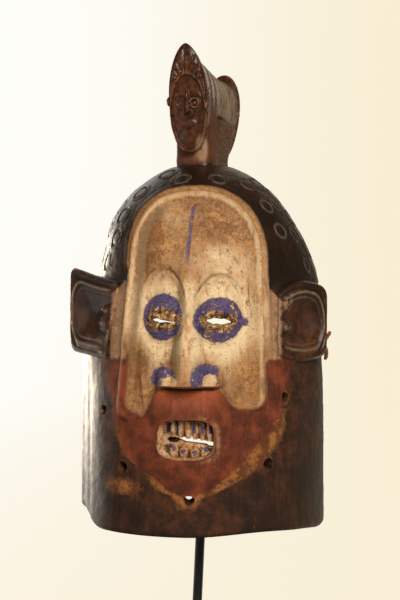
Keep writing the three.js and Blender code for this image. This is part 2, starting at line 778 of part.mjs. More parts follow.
function rodSolid() {
  const low = [ROD_FOOT_X, 0, BASE_THICKNESS + TOUCH_GAP];
  const high = [ROD_TOP_X, 0, RIM_HEIGHT + FORK_HEIGHT + 4];
  const straight = new THREE.LineCurve3(new THREE.Vector3(...low), new THREE.Vector3(...high));
  const section = new THREE.Shape();
  section.absarc(0, 0, ROD_RADIUS, 0, 2 * Math.PI);
  const geometry = new THREE.ExtrudeGeometry(section, { steps: 1, extrudePath: straight, curveSegments: 6 });
  return toSolid(geometry);
}

function standSolid() {
  return rodSolid().add(forkArm(-1)).add(forkArm(1));
}

function baseGeometry() {
  const half = BASE_SIDE / 2;
  const shape = new THREE.Shape();
  shape.moveTo(-half + BASE_CORNER, -half);
  shape.lineTo(half - BASE_CORNER, -half);
  shape.absarc(half - BASE_CORNER, -half + BASE_CORNER, BASE_CORNER, -Math.PI / 2, 0);
  shape.absarc(half - BASE_CORNER, half - BASE_CORNER, BASE_CORNER, 0, Math.PI / 2);
  shape.absarc(-half + BASE_CORNER, half - BASE_CORNER, BASE_CORNER, Math.PI / 2, Math.PI);
  shape.absarc(-half + BASE_CORNER, -half + BASE_CORNER, BASE_CORNER, Math.PI, 1.5 * Math.PI);
  return new THREE.ExtrudeGeometry(shape, { depth: BASE_THICKNESS, bevelEnabled: false, curveSegments: 4 });
}

// Fibre tie: in through the hole, with a loop hanging outside and a stub standing up from it.
function tieSolid() {
  const { angle, height } = TIE_HOLES[TIE_HOLES.length - 1];
  const { x, y } = domePoint(toRadians(angle), height);
  const z = RIM_HEIGHT + height;
  const through = roundBar([
    [x - 17, y - 2, z - 2],
    [x - 8, y - 1, z],
    [x + 1, y, z + 0.5],
    [x + 4.8, y, z - 3],
    [x + 5.4, y, z - 9],
    [x + 4.4, y, z - 14],
  ], TIE_RADIUS, 10);
  const stub = roundBar([[x + 1, y, z + 0.5], [x + 5, y, z + 6], [x + 9.5, y, z + 13]], TIE_RADIUS * 0.9, 3);
  return through.add(stub);
}

function makeMesh(name, geometry, color, roughness, metalness) {
  const material = new THREE.MeshStandardMaterial({ color, roughness, metalness });
  const mesh = new THREE.Mesh(geometry, material);
  mesh.name = name;
  return mesh;
}

const group = new THREE.Group();

const mask = makeMesh('mask', toGeometry(maskSolid()), 0x3a2a20, 0.45, 0);
mask.position.z = RIM_HEIGHT;
group.add(mask);
group.add(makeMesh('stand_rod', toGeometry(standSolid()), 0x141414, 0.5, 0.4));
group.add(makeMesh('stand_base', baseGeometry(), 0x141414, 0.5, 0.4));
group.add(makeMesh('fibre_tie', toGeometry(tieSolid()), 0x9a5a24, 0.8, 0));

export default group;
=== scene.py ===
# %% [markdown]
# # A helmet mask on its stand
# The mask is carved from one block of wood: a tall dome with a face, two ears and a crest of two
# small heads set back to back. It was painted, used and rubbed, and now stands on a steel rod.
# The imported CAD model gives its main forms. This script carves the same forms again with far more
# points, adds the fine carving and paints everything.

import bpy
import numpy as np
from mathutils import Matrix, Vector


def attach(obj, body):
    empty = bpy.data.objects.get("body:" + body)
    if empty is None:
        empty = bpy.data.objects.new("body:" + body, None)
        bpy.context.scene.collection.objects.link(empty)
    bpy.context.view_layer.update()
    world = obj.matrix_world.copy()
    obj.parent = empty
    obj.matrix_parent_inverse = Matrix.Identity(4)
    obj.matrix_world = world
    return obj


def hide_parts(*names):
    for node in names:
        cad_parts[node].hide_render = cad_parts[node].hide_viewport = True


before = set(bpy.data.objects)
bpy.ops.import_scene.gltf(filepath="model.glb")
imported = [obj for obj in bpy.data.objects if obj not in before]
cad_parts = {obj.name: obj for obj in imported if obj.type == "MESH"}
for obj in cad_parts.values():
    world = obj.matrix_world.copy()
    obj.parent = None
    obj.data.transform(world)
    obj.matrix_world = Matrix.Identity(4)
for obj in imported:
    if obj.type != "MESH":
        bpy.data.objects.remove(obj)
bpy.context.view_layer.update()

# %% [markdown]
# ## Units
# The carving is worked out in millimetres, with the height counted from the mask's own rim and
# the mask looking along -Y. One helper turns such points into the frame's metres.

# %% Millimetres over the rim to metres in the frame
RIM_HEIGHT = 130
MILLIMETRE = 0.001


def to_frame(points):
    """Adds the rim's height over the floor and divides by a thousand."""
    return (np.asarray(points, float) + (0, 0, RIM_HEIGHT)) * MILLIMETRE


# %% [markdown]
# ## Carver's curves
# A carved form is a smooth rise, a rounded ridge or a soft joint between two planes. Each of
# these is one short function of a distance, and works on whole arrays at once.


# %% Steps, ridges and soft joints
def step(start, end, value):
    """A soft step from 0 at start to 1 at end: 3 t squared less 2 t cubed."""
    t = np.clip((value - start) / (end - start), 0, 1)
    return t * t * (3 - 2 * t)


def ridge(distance, half_width):
    """A rounded ridge: half of one plus the cosine, 1 on its line and 0 at a half width."""
    return 0.5 * (1 + np.cos(np.pi * np.clip(distance / half_width, -1, 1)))


def ridges(value, rows):
    """A sum of ridges, each given by its place, half width and height."""
    return sum(height * ridge(value - place, half_width) for place, half_width, height in rows)


def mound(away, power=1):
    """1 in the middle and 0 from a distance of one: one less its square, to a power."""
    return np.clip(1 - away * away, 0, 1) ** power


def mix(a, b, share):
    """A straight blend from a to b."""
    return a + (b - a) * share


def soft_min(a, b, radius):
    """The smaller of two distances, rounded where they meet."""
    h = np.clip(0.5 + 0.5 * (b - a) / radius, 0, 1)
    return mix(b, a, h) - radius * h * (1 - h)


def along_knots(knots, place):
    """A value read off [place, value] knots, with a soft step between neighbours."""
    places, values = np.array(knots, float).T
    place = np.clip(np.asarray(place, float), places[0], places[-1])
    after = np.clip(np.searchsorted(places, place), 1, len(places) - 1)
    t = step(places[after - 1], places[after], place)
    return mix(values[after - 1], values[after], t)


def squared(value, power):
    """A power of the size with the sign kept, which turns a circle's wave into a squarer one."""
    return np.sign(value) * np.abs(value) ** power


def full_turn(count):
    """Evenly spaced angles of one turn."""
    return np.linspace(0, 2 * np.pi, count, endpoint=False)


# %% [markdown]
# ## Tool marks
# An adze leaves shallow hollows that never repeat. Value noise gives such a surface: a number is
# worked out for each corner of a cubic lattice, and points in between are blended softly.

# %% Lattice noise
CELL_FACTORS = (73856093, 19349663, 83492791)
SEED_FACTOR = 2654435
SPREAD_FACTOR = 1274126177
LAST_BITS = 0xFFFF


def corner_value(cell, seed):
    """A number from -1 to 1 for each whole-numbered lattice corner, by mixing its digits."""
    first, second, third = np.moveaxis(cell * CELL_FACTORS, -1, 0)
    mixed = first ^ second ^ third ^ (seed * SEED_FACTOR)
    mixed = (mixed ^ (mixed >> 13)) * SPREAD_FACTOR
    return ((mixed ^ (mixed >> 16)) & LAST_BITS) / (LAST_BITS / 2) - 1


def tool_marks(points, size, seed=1):
    """Noise of the given feature size: the eight corners of each cell, blended by soft steps."""
    scaled = np.asarray(points, float) / size
    cell = np.floor(scaled).astype(np.int64)
    t = step(0, 1, scaled - cell)
    total = 0
    for corner in np.ndindex(2, 2, 2):
        weight = np.prod(np.where(corner, t, 1 - t), axis=-1)
        total = total + weight * corner_value(cell + np.array(corner), seed)
    return total


# %% [markdown]
# ## From rings of points to a solid
# Nearly every form here is a stack of closed rings. Neighbouring rings are joined with
# four-sided faces and both ends are closed by a fan round their middle, which makes a tight skin
# that can be united with, or cut from, another one.


# %% Solids
def in_scene(name, data):
    """An object for some data, linked to the scene."""
    thing = bpy.data.objects.new(name, data)
    bpy.context.scene.collection.objects.link(thing)
    return thing


def mesh_object(name, points, faces):
    """A mesh object that stays at the origin; its points come in metres."""
    mesh = bpy.data.meshes.new(name)
    mesh.from_pydata(points, [], faces)
    mesh.update()
    return in_scene(name, mesh)


def solid_of_rings(name, rings):
    """Closes an array of rings (levels, points, 3) and turns all faces outwards."""
    rings = np.asarray(rings, float)
    levels, count = rings.shape[:2]
    index = np.arange(levels * count).reshape(levels, count)
    turned = np.roll(index, -1, axis=1)
    quads = np.stack([index[:-1], turned[:-1], turned[1:], index[1:]], -1).reshape(-1, 4)
    points = np.concatenate([rings.reshape(-1, 3), rings[[0, -1]].mean(1)])
    low_middle = np.full(count, levels * count)
    low = np.stack([low_middle, turned[0], index[0]], -1)
    high = np.stack([low_middle + 1, index[-1], turned[-1]], -1)
    triangles = np.concatenate([quads[:, [0, 1, 2]], quads[:, [0, 2, 3]], low, high])
    a, b, c = np.moveaxis(points[triangles], 1, 0)
    faces = quads.tolist() + low.tolist() + high.tolist()
    if np.einsum("ij,ij->", a, np.cross(b, c)) < 0:
        faces = [face[::-1] for face in faces]
    return mesh_object(name, to_frame(points), faces)


def prism_along_y(name, outline, near, far):
    """A prism along Y over an outline in X and Z."""
    outline = np.asarray(outline, float)
    return solid_of_rings(name, [np.insert(outline, 1, y, axis=1) for y in np.linspace(near, far, 9)])


def apply_modifiers(thing):
    """Gives an object the mesh that its modifiers make of it."""
    made = bpy.data.meshes.new_from_object(
        thing.evaluated_get(bpy.context.evaluated_depsgraph_get())
    )
    thing.modifiers.clear()
    thing.data = made


def combine(target, others, operation):
    """Unites target with the others, or cuts them from it, and removes them."""
    for other in others:
        modifier = target.modifiers.new("carve", "BOOLEAN")
        modifier.operation = operation
        modifier.solver = "MANIFOLD"
        modifier.object = other
        apply_modifiers(target)
        bpy.data.objects.remove(other)
    return target


# %% [markdown]
# ## The dome
# Seen from above the mask is an oval, deeper behind than in front. Going up, its radius follows a
# high power curve: upright at the wall, then rounding over to the crown. The same rule gives
# every point of the outer skin and, a wall thickness further in, of the hollow.

# %% Dome and its normal
HALF_WIDTH = 115
HALF_DEPTH_FRONT = 118
HALF_DEPTH_BACK = 135
DOME_HEIGHT = 334.5
SWELL_POWER = 4.35
LEAN = 4.2
LEAN_LEVEL = 227
LEAN_REACH = 70
WALL = 12
FACE_WALL = 20


def dome_swell(height, top=DOME_HEIGHT):
    """The share of the full radius left at a height: root of one less a power of the height."""
    return np.sqrt(np.clip(1 - (np.clip(height, 0, None) / top) ** SWELL_POWER, 0, 1))


def lean(height):
    """How far the block bulges to its left hand side at a height: a ridge at ear level."""
    return LEAN * ridge(height - LEAN_LEVEL, LEAN_REACH)


def dome_point(angle, height, inset=0, top_inset=None):
    """A point of the dome, or of one that lies inside it by inset; the angle is from the front."""
    top_inset = inset if top_inset is None else top_inset
    half_depth = np.where(np.cos(angle) > 0, HALF_DEPTH_FRONT, HALF_DEPTH_BACK)
    across = np.sin(angle) / (HALF_WIDTH - inset)
    along = np.cos(angle) / (half_depth - inset)
    radius = dome_swell(height, DOME_HEIGHT - top_inset) / np.hypot(across, along)
    height = height + 0 * radius
    return np.stack([radius * np.sin(angle) + lean(height), -radius * np.cos(angle), height], -1)


def dome_normal(points):
    """The gradient of (x/a)^2 + (y/b)^2 + (z/h)^power, made one long."""
    x, y, z = np.moveaxis(points, -1, 0)
    x = x - lean(z)
    half_depth = np.where(y < 0, HALF_DEPTH_FRONT, HALF_DEPTH_BACK)
    upward = SWELL_POWER * np.clip(z, 0, None) ** (SWELL_POWER - 1) / DOME_HEIGHT**SWELL_POWER
    normal = np.stack([2 * x / HALF_WIDTH**2, 2 * y / half_depth**2, upward], -1)
    return normal / np.linalg.norm(normal, axis=-1, keepdims=True)


# %% [markdown]
# ## The face panel
# The face lies in a sunken panel with an arched top. A flat band and a thin bead run round it,
# the bead ends in a hook beside the mouth, and the red moustache block rises between the hooks.
# All of it is height over the dome, worked out from the distance to a few edges.

# %% Edges of the face
FRAME_X = 4
FRAME_HALF_WIDTH = 55
FRAME_SPRING = 235
FRAME_RISE = 66
SPREAD_FROM = 259
SPREAD_LEFT = 0.085
SPREAD_RIGHT = 0.04
JOWL_LEFT = 101
JOWL_RIGHT = 110
JOWL_REACH = 44
NOSE_BASE = 131
MOUTH_X = -2
MOUTH_HEIGHT = 83.5
BEARD_HEIGHTS = [30, 36, 40, 54, 70, 91, 117, 143, 180]
BEARD_LEFT = [0, -6, -16, -34, -58, -65, -71, -79, -84]
BEARD_RIGHT = [0, 5, 16, 36, 52, 70, 82, 86, 88]
BEARD_FOOT = 35


def inside_bead(x, z):
    """Distance in from the bead: sides that spread downwards, and a superellipse on top."""
    left = x < FRAME_X
    across = np.abs(x - FRAME_X)
    spread = np.where(left, SPREAD_LEFT, SPREAD_RIGHT) * (SPREAD_FROM - np.minimum(z, FRAME_SPRING))
    half = FRAME_HALF_WIDTH + spread
    half = np.where(left, half, half - 0.6)
    power = np.where(left, 2.7, 2.2)
    rise = np.maximum(z - FRAME_SPRING, 0)
    share = ((across / half) ** power + (rise / FRAME_RISE) ** power) ** (1 / power)
    reach = np.hypot(across, rise)
    arch = reach / np.maximum(share, 1e-6) - reach
    return np.where(z < FRAME_SPRING, half - across, arch)


def band_width(x, z):
    """Width of the band outside the bead: broad on top, thin on the left, gone below."""
    left = along_knots([(160, -0.5), (172, 2.2), (222, 2.4), (246, 6), (290, 8)], z)
    right = along_knots([(148, 3), (160, 7.5), (260, 7.5), (290, 8)], z)
    return mix(left, right, step(-10, 20, x))


def inside_frame(x, z):
    """Distance in from the outer edge of the band."""
    return inside_bead(x, z) + band_width(x, z)


def panel_foot(x):
    """Lower edge of the panel: under the nose in the middle, down to a jowl on each side."""
    jowl = np.where(x < 0, JOWL_LEFT, JOWL_RIGHT)
    return mix(NOSE_BASE - 2, jowl, step(22, JOWL_REACH, np.abs(x)))


def panel_inside(x, z):
    """Distance in from the panel's bead, rounded where the side meets the foot."""
    return soft_min(inside_bead(x, z), z - panel_foot(x), 16)


def beard_inside(x, z):
    """Distance in from the outline of the red beard, read off its left and right edges."""
    left = np.interp(z, BEARD_HEIGHTS, BEARD_LEFT)
    right = np.interp(z, BEARD_HEIGHTS, BEARD_RIGHT)
    return np.minimum(np.minimum(x - left, right - x), z - BEARD_FOOT)


# %% Parts of the face
EYE_X = 26
EYE_HEIGHT = 190
EYE_RADIUS = 21.5
EYE_SWELL = 8
SOCKET_HALF_WIDTH = 25
SOCKET_FOOT = 27
BROW_LEFT = 48
BROW_RIGHT = 41
SLIT_X = 24.5
NOSE_ROOT = 240
NOSE_PROUD = 23
NOSTRIL_X = 18
NOSTRIL_REACH = 13
NOSTRIL_SWELL = 13
SEAM_PLACES = (-12, 14)


def socket_share(x, z):
    """Distance from the middle of an eye's socket as a share of its size: 1 on its edge."""
    tall = np.where(z > EYE_HEIGHT, np.where(x < 0, BROW_LEFT, BROW_RIGHT), SOCKET_FOOT)
    return np.hypot((np.abs(x) - EYE_X) / SOCKET_HALF_WIDTH, (z - EYE_HEIGHT) / tall)


def eye_relief(x, z):
    """A socket under an arched brow, a ball swelling in it, and lids drawn in at the slit."""
    from_level = z - EYE_HEIGHT
    socket = socket_share(x, z)
    ledge = 1.3 * ridge(socket - 0.93, 0.06) * step(12, 26, from_level)
    ball = np.minimum(1, np.hypot(np.abs(x) - EYE_X, from_level) / EYE_RADIUS)
    slit = np.hypot((np.abs(x) - SLIT_X) / 18, (from_level + 2) / 5.5)
    lids = 1.8 * step(1, 0.45, slit) - 0.7 * ridge(slit - 1.12, 0.3)
    return EYE_SWELL * (1 - ball * ball) - 7 * step(1.05, 0.74, socket) - lids - ledge


def nose_relief(x, z):
    """A wedge that grows from the brow down to a flat base, with a wing on each side."""
    down = np.clip((NOSE_ROOT - z) / (NOSE_ROOT - NOSE_BASE), 0, 1)
    under = step(NOSE_BASE - 2, NOSE_BASE + 0.5, z)
    middle = -3 * (1 - down)
    bridge = mound(np.abs(x - middle) / mix(8, 19, down**1.5), 0.8)
    nostril = np.hypot((np.abs(x) - NOSTRIL_X) / NOSTRIL_REACH, (z - NOSE_BASE - 4) / 16)
    height = NOSE_PROUD * down**1.25 + 2 * step(0, 0.1, down)
    return under * np.maximum(bridge * height, NOSTRIL_SWELL * mound(nostril, 0.7))


def brow_line_away(x, z):
    """Sideways distance from the blue line that leans down the forehead."""
    return x + 3.7 * (289 - z) / 50


def lip_seams(x, half_width):
    """Two upright seams on the block over the mouth."""
    return sum(ridge(x - place, half_width) for place in SEAM_PLACES)


def mouth_relief(x, z):
    """Lips swelling round the mouth, with the ridged block that joins them to the nose."""
    lips = 6 * mound(np.hypot((x - MOUTH_X) / 50, (z - 88) / 50), 0.8)
    block = step(-33, -26, x) * step(30, 24, x) * step(94, 118, z) * step(129, 125, z)
    return lips + block * (1.8 + 0.7 * lip_seams(x, 1.6))


def face_relief(x, z):
    """Height of the face's carving over the plain dome, in millimetres."""
    in_frame = inside_frame(x, z)
    in_panel_by = panel_inside(x, z)
    in_panel = step(-1, 9, in_panel_by)
    band = 1.4 * step(-3, 0.5, in_frame) * step(130, 175, z)
    thin_edge = 0.8 * ridge(in_frame - 0.5, 1.6) * step(180, 215, z)
    beaded = np.maximum(step(28, 46, np.abs(x)), step(150, 200, z)) * step(97, 104, z)
    beaded = beaded * step(14, 6, inside_bead(x, z))
    bead = (3.2 * ridge(in_panel_by - 0.5, 3.4) - 1.2 * ridge(in_panel_by - 7.5, 6)) * beaded
    cheek = 3 * step(6, 30, in_panel_by)
    sink = mix(8 - cheek, 5, step(215, 290, z))
    beard = 0.4 * step(-3, 2, beard_inside(x, z)) * step(150, 130, z)
    line = ridge(brow_line_away(x, z), 1.4) * step(236, 242, z) * step(292, 286, z)
    fold = 1.6 * ridge(x + 45 + 0.1 * (z - 135), 3.2) * step(150, 140, z) * step(100, 112, z)
    outside = mouth_relief(x, z) + beard + band
    inside = eye_relief(x, z) - sink - 0.8 * line + fold
    return mix(outside, inside, in_panel) + thin_edge + bead + nose_relief(x, z)


# %% [markdown]
# ## The hair cap and its rings
# Round the panel the wood stands a little prouder and darker, like a cap of hair that ends above
# the ears. Rings are cut into it, each with one turn of a gouge. The photograph shows the front
# ones, and the loops carry the same columns on round the back.

# %% Rings of the cap
CAP_EDGE = 221
RING_RADIUS = 7.2
FRONT_RINGS = [
    (-13.2, 315), (21.2, 315), (-36, 321), (-49.4, 304), (-53.3, 283), (-52, 262), (-56.5, 241),
    (-67.6, 293), (-70.4, 272), (-72, 250), (-84, 303), (-86, 282), (-87, 260), (-88, 237),
    (48.1, 311), (53.8, 291), (54.6, 268), (66.8, 313), (68.2, 294), (69.1, 266), (70.4, 238),
    (79.6, 303), (80.4, 282), (81.5, 253), (93, 292), (94, 268), (95, 240),
]
BACK_RINGS = [
    (column, level + 10 * (number % 2))
    for number, column in enumerate(range(106, 256, 15))
    for level in (242, 264, 286, 306)
]


def each_ring(points):
    """For every ring, the points level with it and their distance from its line."""
    for angle, height in FRONT_RINGS + BACK_RINGS:
        middle = dome_point(np.radians(angle), height)
        near = np.abs(points[..., 2] - height) < 16
        yield near, np.linalg.norm(points[near] - middle, axis=-1) - RING_RADIUS


def ring_share(points):
    """How much a point belongs to the line of a ring, from 0 to 1, for the dust in it."""
    share = np.zeros(points.shape[:-1])
    for near, off_line in each_ring(points):
        share[near] = np.maximum(share[near], ridge(off_line, 1.8))
    return share


def ring_relief(points):
    """A rounded groove along each ring's line, with a slight lip outside it."""
    relief = np.zeros(points.shape[:-1])
    for near, off_line in each_ring(points):
        relief[near] -= 1.5 * ridge(off_line, 1.4) - 0.4 * ridge(off_line - 2.1, 1.2)
    return relief


print("rings in front and behind:", len(FRONT_RINGS), len(BACK_RINGS))

# %% Wall and rim
LEFT_FLUTES = [(-74, 6, 1.6), (-60, 5, 1.0), (-90, 7, 0.8)]
RIM_RISES = [(-84, 34, 8), (-70, 22, 8), (32, 34, 3), (82, 24, -3.5)]


def wall_relief(points, angle):
    """Cap, rings, adze marks and the dents down the left wall, all round the dome."""
    z = points[..., 2]
    in_frame = np.where(np.cos(angle) > 0, inside_frame(points[..., 0], z), -40)
    cap = 1.5 * step(0.5, -2, in_frame) * step(CAP_EDGE - 2, CAP_EDGE + 2, z)
    plain = step(2, -6, in_frame)
    marks = 0.4 * tool_marks(points * (1, 1, 0.6), 15, 3) + 0.2 * tool_marks(points, 5, 4)
    turn = np.degrees(angle)
    flutes = ridges(turn, LEFT_FLUTES) * step(150, 110, z) * step(-5, 30, z)
    rings = ring_relief(points) * step(-2, -6, in_frame)
    flat = 3.5 * ridge(turn + 82, 40) * ridge(z - 248, 38)
    flat = flat + 3 * ridge(turn + 67, 25) * step(165, 120, z)
    return cap + rings + marks * mix(0.35, 1, plain) - flutes - flat


def rim_lift(angle):
    """Height of the worn rim: highest under the left ear, a little low under the right one."""
    return ridges(np.degrees(angle), RIM_RISES)


# %% The skin
def mask_surface(angle, height):
    """The outer skin: a dome point moved along the dome's normal by all of the carving."""
    height = height + rim_lift(angle) * step(30, 0, height)
    points = dome_point(angle, height)
    x, z = points[..., 0], points[..., 2]
    front = step(0, 0.12, np.cos(angle))
    relief = front * face_relief(x, z) + wall_relief(points, angle)
    rim = np.clip(1 - (z - rim_lift(angle)) / 4, 0, 1)
    relief = relief * step(DOME_HEIGHT, DOME_HEIGHT - 6, z) - 3 * rim * rim
    return points + dome_normal(points) * relief[..., None]


def body_grid():
    """Angles and heights of the skin: close together over the face and cap, wider behind."""
    fine_to, face_from, face_to = 98, 56, 235
    right = np.concatenate([np.linspace(0, fine_to, 172), np.linspace(fine_to, 180, 34)[1:]])
    right = np.radians(right)
    angles = np.concatenate([-right[1:-1][::-1], right])
    wall = np.concatenate([np.linspace(0, 4, 5), np.linspace(4, face_from, 27)[1:]])
    face = np.linspace(face_from, face_to, 150)[1:]
    swell = np.linspace(dome_swell(face_to), 0, 128)[1:-1]
    crown = DOME_HEIGHT * (1 - swell**2) ** (1 / SWELL_POWER)
    return angles, np.concatenate([wall, face, crown])


angles, heights = body_grid()
body = solid_of_rings("mask_visual", mask_surface(angles[None, :], heights[:, None]))
print("points of the skin:", len(body.data.vertices))

# %% [markdown]
# ## The ears
# An ear is a plate that leaves the dome beside the face and ends in a free edge. Its front has a
# rounded rim, a thin double bead, a bowl and two pointed lobes towards the face. It is a sheet of
# heights over the plate, closed by a flat back.

# %% Plate and outline of an ear
EAR_ROOT_ANGLE = np.radians(41)
EAR_TIP = np.array([119.5, -42])
EAR_REACH = 62
EAR_OUTLINES = {
    -1: ([(0, 223), (0.5, 228.6), (1, 237.4)], [(0, 152.4), (1, 159)]),
    1: (
        [(0, 212), (0.12, 216.5), (0.25, 220), (0.4, 223), (0.55, 223.8), (0.8, 221), (1, 217.5)],
        [(0, 156), (0.25, 152), (0.5, 150.5), (0.8, 152.7), (1, 156)],
    ),
}


def ear_heights(side, share):
    """Top and foot of an ear at a share of the way from its root to its tip."""
    return [np.interp(share, *np.array(knots).T) for knots in EAR_OUTLINES[side]]


def ear_plate(side, z):
    """The root of the plate at a height, its direction away from the dome, and its width."""
    root = dome_point(side * EAR_ROOT_ANGLE, z)[..., :2] * (side, 1)
    along = EAR_TIP - root
    width = np.linalg.norm(along, axis=-1)
    return root, along / width[..., None], width


# %% Relief of an ear
EAR_LOBES = {-1: [(0.62, 0.1), (0.45, 0.09)], 1: [(0.77, 0.19), (0.45, 0.13)]}


def ear_lobes(side, up, widen=1):
    """1 along the middle of a lobe, at its share of the ear's height."""
    return np.maximum.reduce([ridge(up - level, widen * half) for level, half in EAR_LOBES[side]])


def ear_relief(side, edge, bowl_by, across, up):
    """Height of an ear's front: rim, thin double bead, bowl, and two lobes from its root."""
    rim = 1.2 * ridge(edge - 3.5, 4)
    bead = 1.5 * ridge(bowl_by, 1.5) - 0.9 * ridge(bowl_by + 2.4, 1.2) - 0.6 * ridge(bowl_by - 2.2, 1.2)
    lobe = ear_lobes(side, up)
    start = 2 + 12 * lobe
    bowl = 6.5 * step(1, 15, bowl_by) * step(start - 2, start + 5, across)
    swollen = 3.0 * lobe * step(start + 4, start - 3, across) * step(-1, 5, across)
    rounding = 2.5 * step(2.2, 0, edge) ** 2
    return rim + bead * step(6, 14, across) - bowl + swollen * step(0, 6, bowl_by) - rounding


def ear_edges(side, share, z, width):
    """Distance from an ear's free edges and from the line of its bowl, and the share of its height."""
    top, foot = ear_heights(side, share)
    from_tip = (1 - share) * width
    edge = soft_min(soft_min(top - z, 0.62 * (z - foot), 8), from_tip, 8)
    bowl_by = soft_min(soft_min(0.55 * (top - z), 0.55 * (z - foot), 9), from_tip, 14) - 5.6
    return edge, bowl_by, (z - foot) / (top - foot)


# %% Rings of an ear
EAR_CORNER = 6.5
EAR_THICKNESS = 13
FRONT_ROWS = 100
BACK_ROWS = 12


def round_corner(away, radius):
    """How far a quarter circle of a radius falls away, at a distance from its end."""
    short = np.clip(radius - away, 0, radius)
    return radius - np.sqrt(radius**2 - short**2)


def ear_rings(side):
    """Upright rings from the root, inside the wall, to the free edge."""
    across = np.concatenate([[-3], np.linspace(0, EAR_REACH, 84)])[:, None]
    share = np.clip(across / EAR_REACH, 0, 1)
    squeeze = round_corner((1 - share) * 56, EAR_CORNER)
    top, foot = ear_heights(side, share)
    up = np.concatenate([np.linspace(0, 1, FRONT_ROWS), np.linspace(0.97, 0.03, BACK_ROWS)])[None, :]
    is_front = np.arange(FRONT_ROWS + BACK_ROWS)[None, :] < FRONT_ROWS
    z = mix(foot + squeeze, top - squeeze, up)
    root, along, width = ear_plate(side, z)
    outward = np.stack([along[..., 1], -along[..., 0]], -1)
    edge, bowl_by, up_by = ear_edges(side, share, z, width)
    front = 2.5 * (1 - share) + ear_relief(side, edge, bowl_by, across, up_by)
    front = front + 0.25 * tool_marks(np.stack([across + 0 * z, z, 0 * z], -1), 9, 7)
    depth = np.where(is_front, front, -EAR_THICKNESS * (1 - 0.35 * share))
    flat = root + along * (share * width)[..., None] + outward * depth[..., None]
    flat = flat * np.where(across < 0, 0.86, 1)[..., None]
    return np.stack([side * flat[..., 0], flat[..., 1], z], -1)


ears = [solid_of_rings("ear", ear_rings(side)) for side in (-1, 1)]
print("points of each ear:", [len(ear.data.vertices) for ear in ears])

# %% [markdown]
# ## The crest
# Two small heads look forward and back from one neck. The section across them is an egg, pointed
# above at the front where the cap comes to a peak. Each head ends in an oval face with a thin
# rim under a leaf-shaped cap, and combed hair is a row of fine grooves down the sides.

# %% Crest sections
CREST_CENTRE = np.array([2.2, 22])
CREST_TURN = np.radians(10.4)
CREST_SIDES = 144
FACE_LEAN = 0.12
GROOVE_PITCH = 3.9
CREST_STATIONS = np.array([
    (-63, 431, 346, 15.5, 400), (-60, 434, 344, 17.2, 400), (-55, 433, 347, 17.0, 400),
    (-52, 426, 350, 15.6, 400), (-42, 424, 379, 15.2, 402), (-20, 423, 383, 15.0, 402),
    (5, 426, 382, 15.2, 400), (20, 428, 372, 16.0, 398), (34, 430, 352, 17.0, 395),
    (54, 434, 346, 18.4, 393), (60, 441, 343, 18.2, 393), (64, 441.5, 342.5, 17.6, 393),
])


def crest_place(forward, sideways, height):
    """Turns crest coordinates, forward along its axis and sideways, into the mask's own."""
    cos, sin = np.cos(CREST_TURN), np.sin(CREST_TURN)
    x = CREST_CENTRE[0] - forward * sin + sideways * cos
    y = CREST_CENTRE[1] - forward * cos - sideways * sin
    return np.stack(np.broadcast_arrays(x, y, height), -1)


def crest_outline(forward):
    """Heights and half widths of one section: a fuller or leaner ellipse above and below."""
    top, under, half, widest = (
        along_knots(CREST_STATIONS[:, [0, column]], forward) for column in (1, 2, 3, 4)
    )
    up, side = np.cos(full_turn(CREST_SIDES)), np.sin(full_turn(CREST_SIDES))
    upper = mix(1.0, 1.2, step(30, 60, forward))
    lower = mix(mix(0.45, 0.72, step(14, 50, forward)), 1.3, step(-44, -56, forward))
    height = widest + np.where(up > 0, top - widest, widest - under) * up
    return height, half * squared(side, np.where(up > 0, upper, lower))


def crest_lean(forward, height):
    """Both faces tip forwards: the top of an end stands out over its chin."""
    return step(36, 60, np.abs(forward)) * np.sign(forward) * FACE_LEAN * (height - 385)


def crest_section(forward):
    """One section, shrunk where a groove of the combed hair runs round it."""
    height, width = crest_outline(forward)
    combed = step(10, 22, forward) * step(61, 58, forward)
    depth = mix(1.1, 2.3, combed) * step(61, 58, np.abs(forward))
    groove = ridge((forward / GROOVE_PITCH) % 1 - 0.5, 0.28) * depth * step(362, 374, height)
    middle = 398
    width = width * (1 - groove / 16)
    height = middle + (height - middle) * (1 - groove / 24)
    return crest_place(forward + crest_lean(forward, height), width, height)


# %% Crest faces
FRONT_FACE = {"end": 64, "level": 379, "reach": 35.5, "half": 16.8}
REAR_FACE = {"end": -63, "level": 386, "reach": 34, "half": 13.5}


def at_face_end(face, out, across, z):
    """Points of an end of the crest, standing out from it by a height."""
    end = face["end"]
    return crest_place(end + crest_lean(end, z) + np.sign(end) * out, across, z)


def crest_rim(face, share):
    """A ring between the section's edge and the oval of the face, fanned above like a leaf."""
    height, width = crest_outline(face["end"])
    turn = full_turn(CREST_SIDES)
    across = mix(width, face["half"] * np.sin(turn), share)
    z = mix(height, face["level"] + face["reach"] * np.cos(turn), share)
    leaf = step(404, 414, z)
    fan = np.arctan2(across + 1.5, z - 408)
    cut = ridge((fan / 0.4 + 0.5) % 1 - 0.5, 0.24) * step(0, 0.3, share)
    out = leaf * (2.0 * np.sin(np.pi * share) - 1.5 * cut) - 1.2 * (1 - share) ** 3
    return at_face_end(face, out + 1.7 * ridge(share - 0.96, 0.1) * (1 - 0.3 * leaf), across, z)


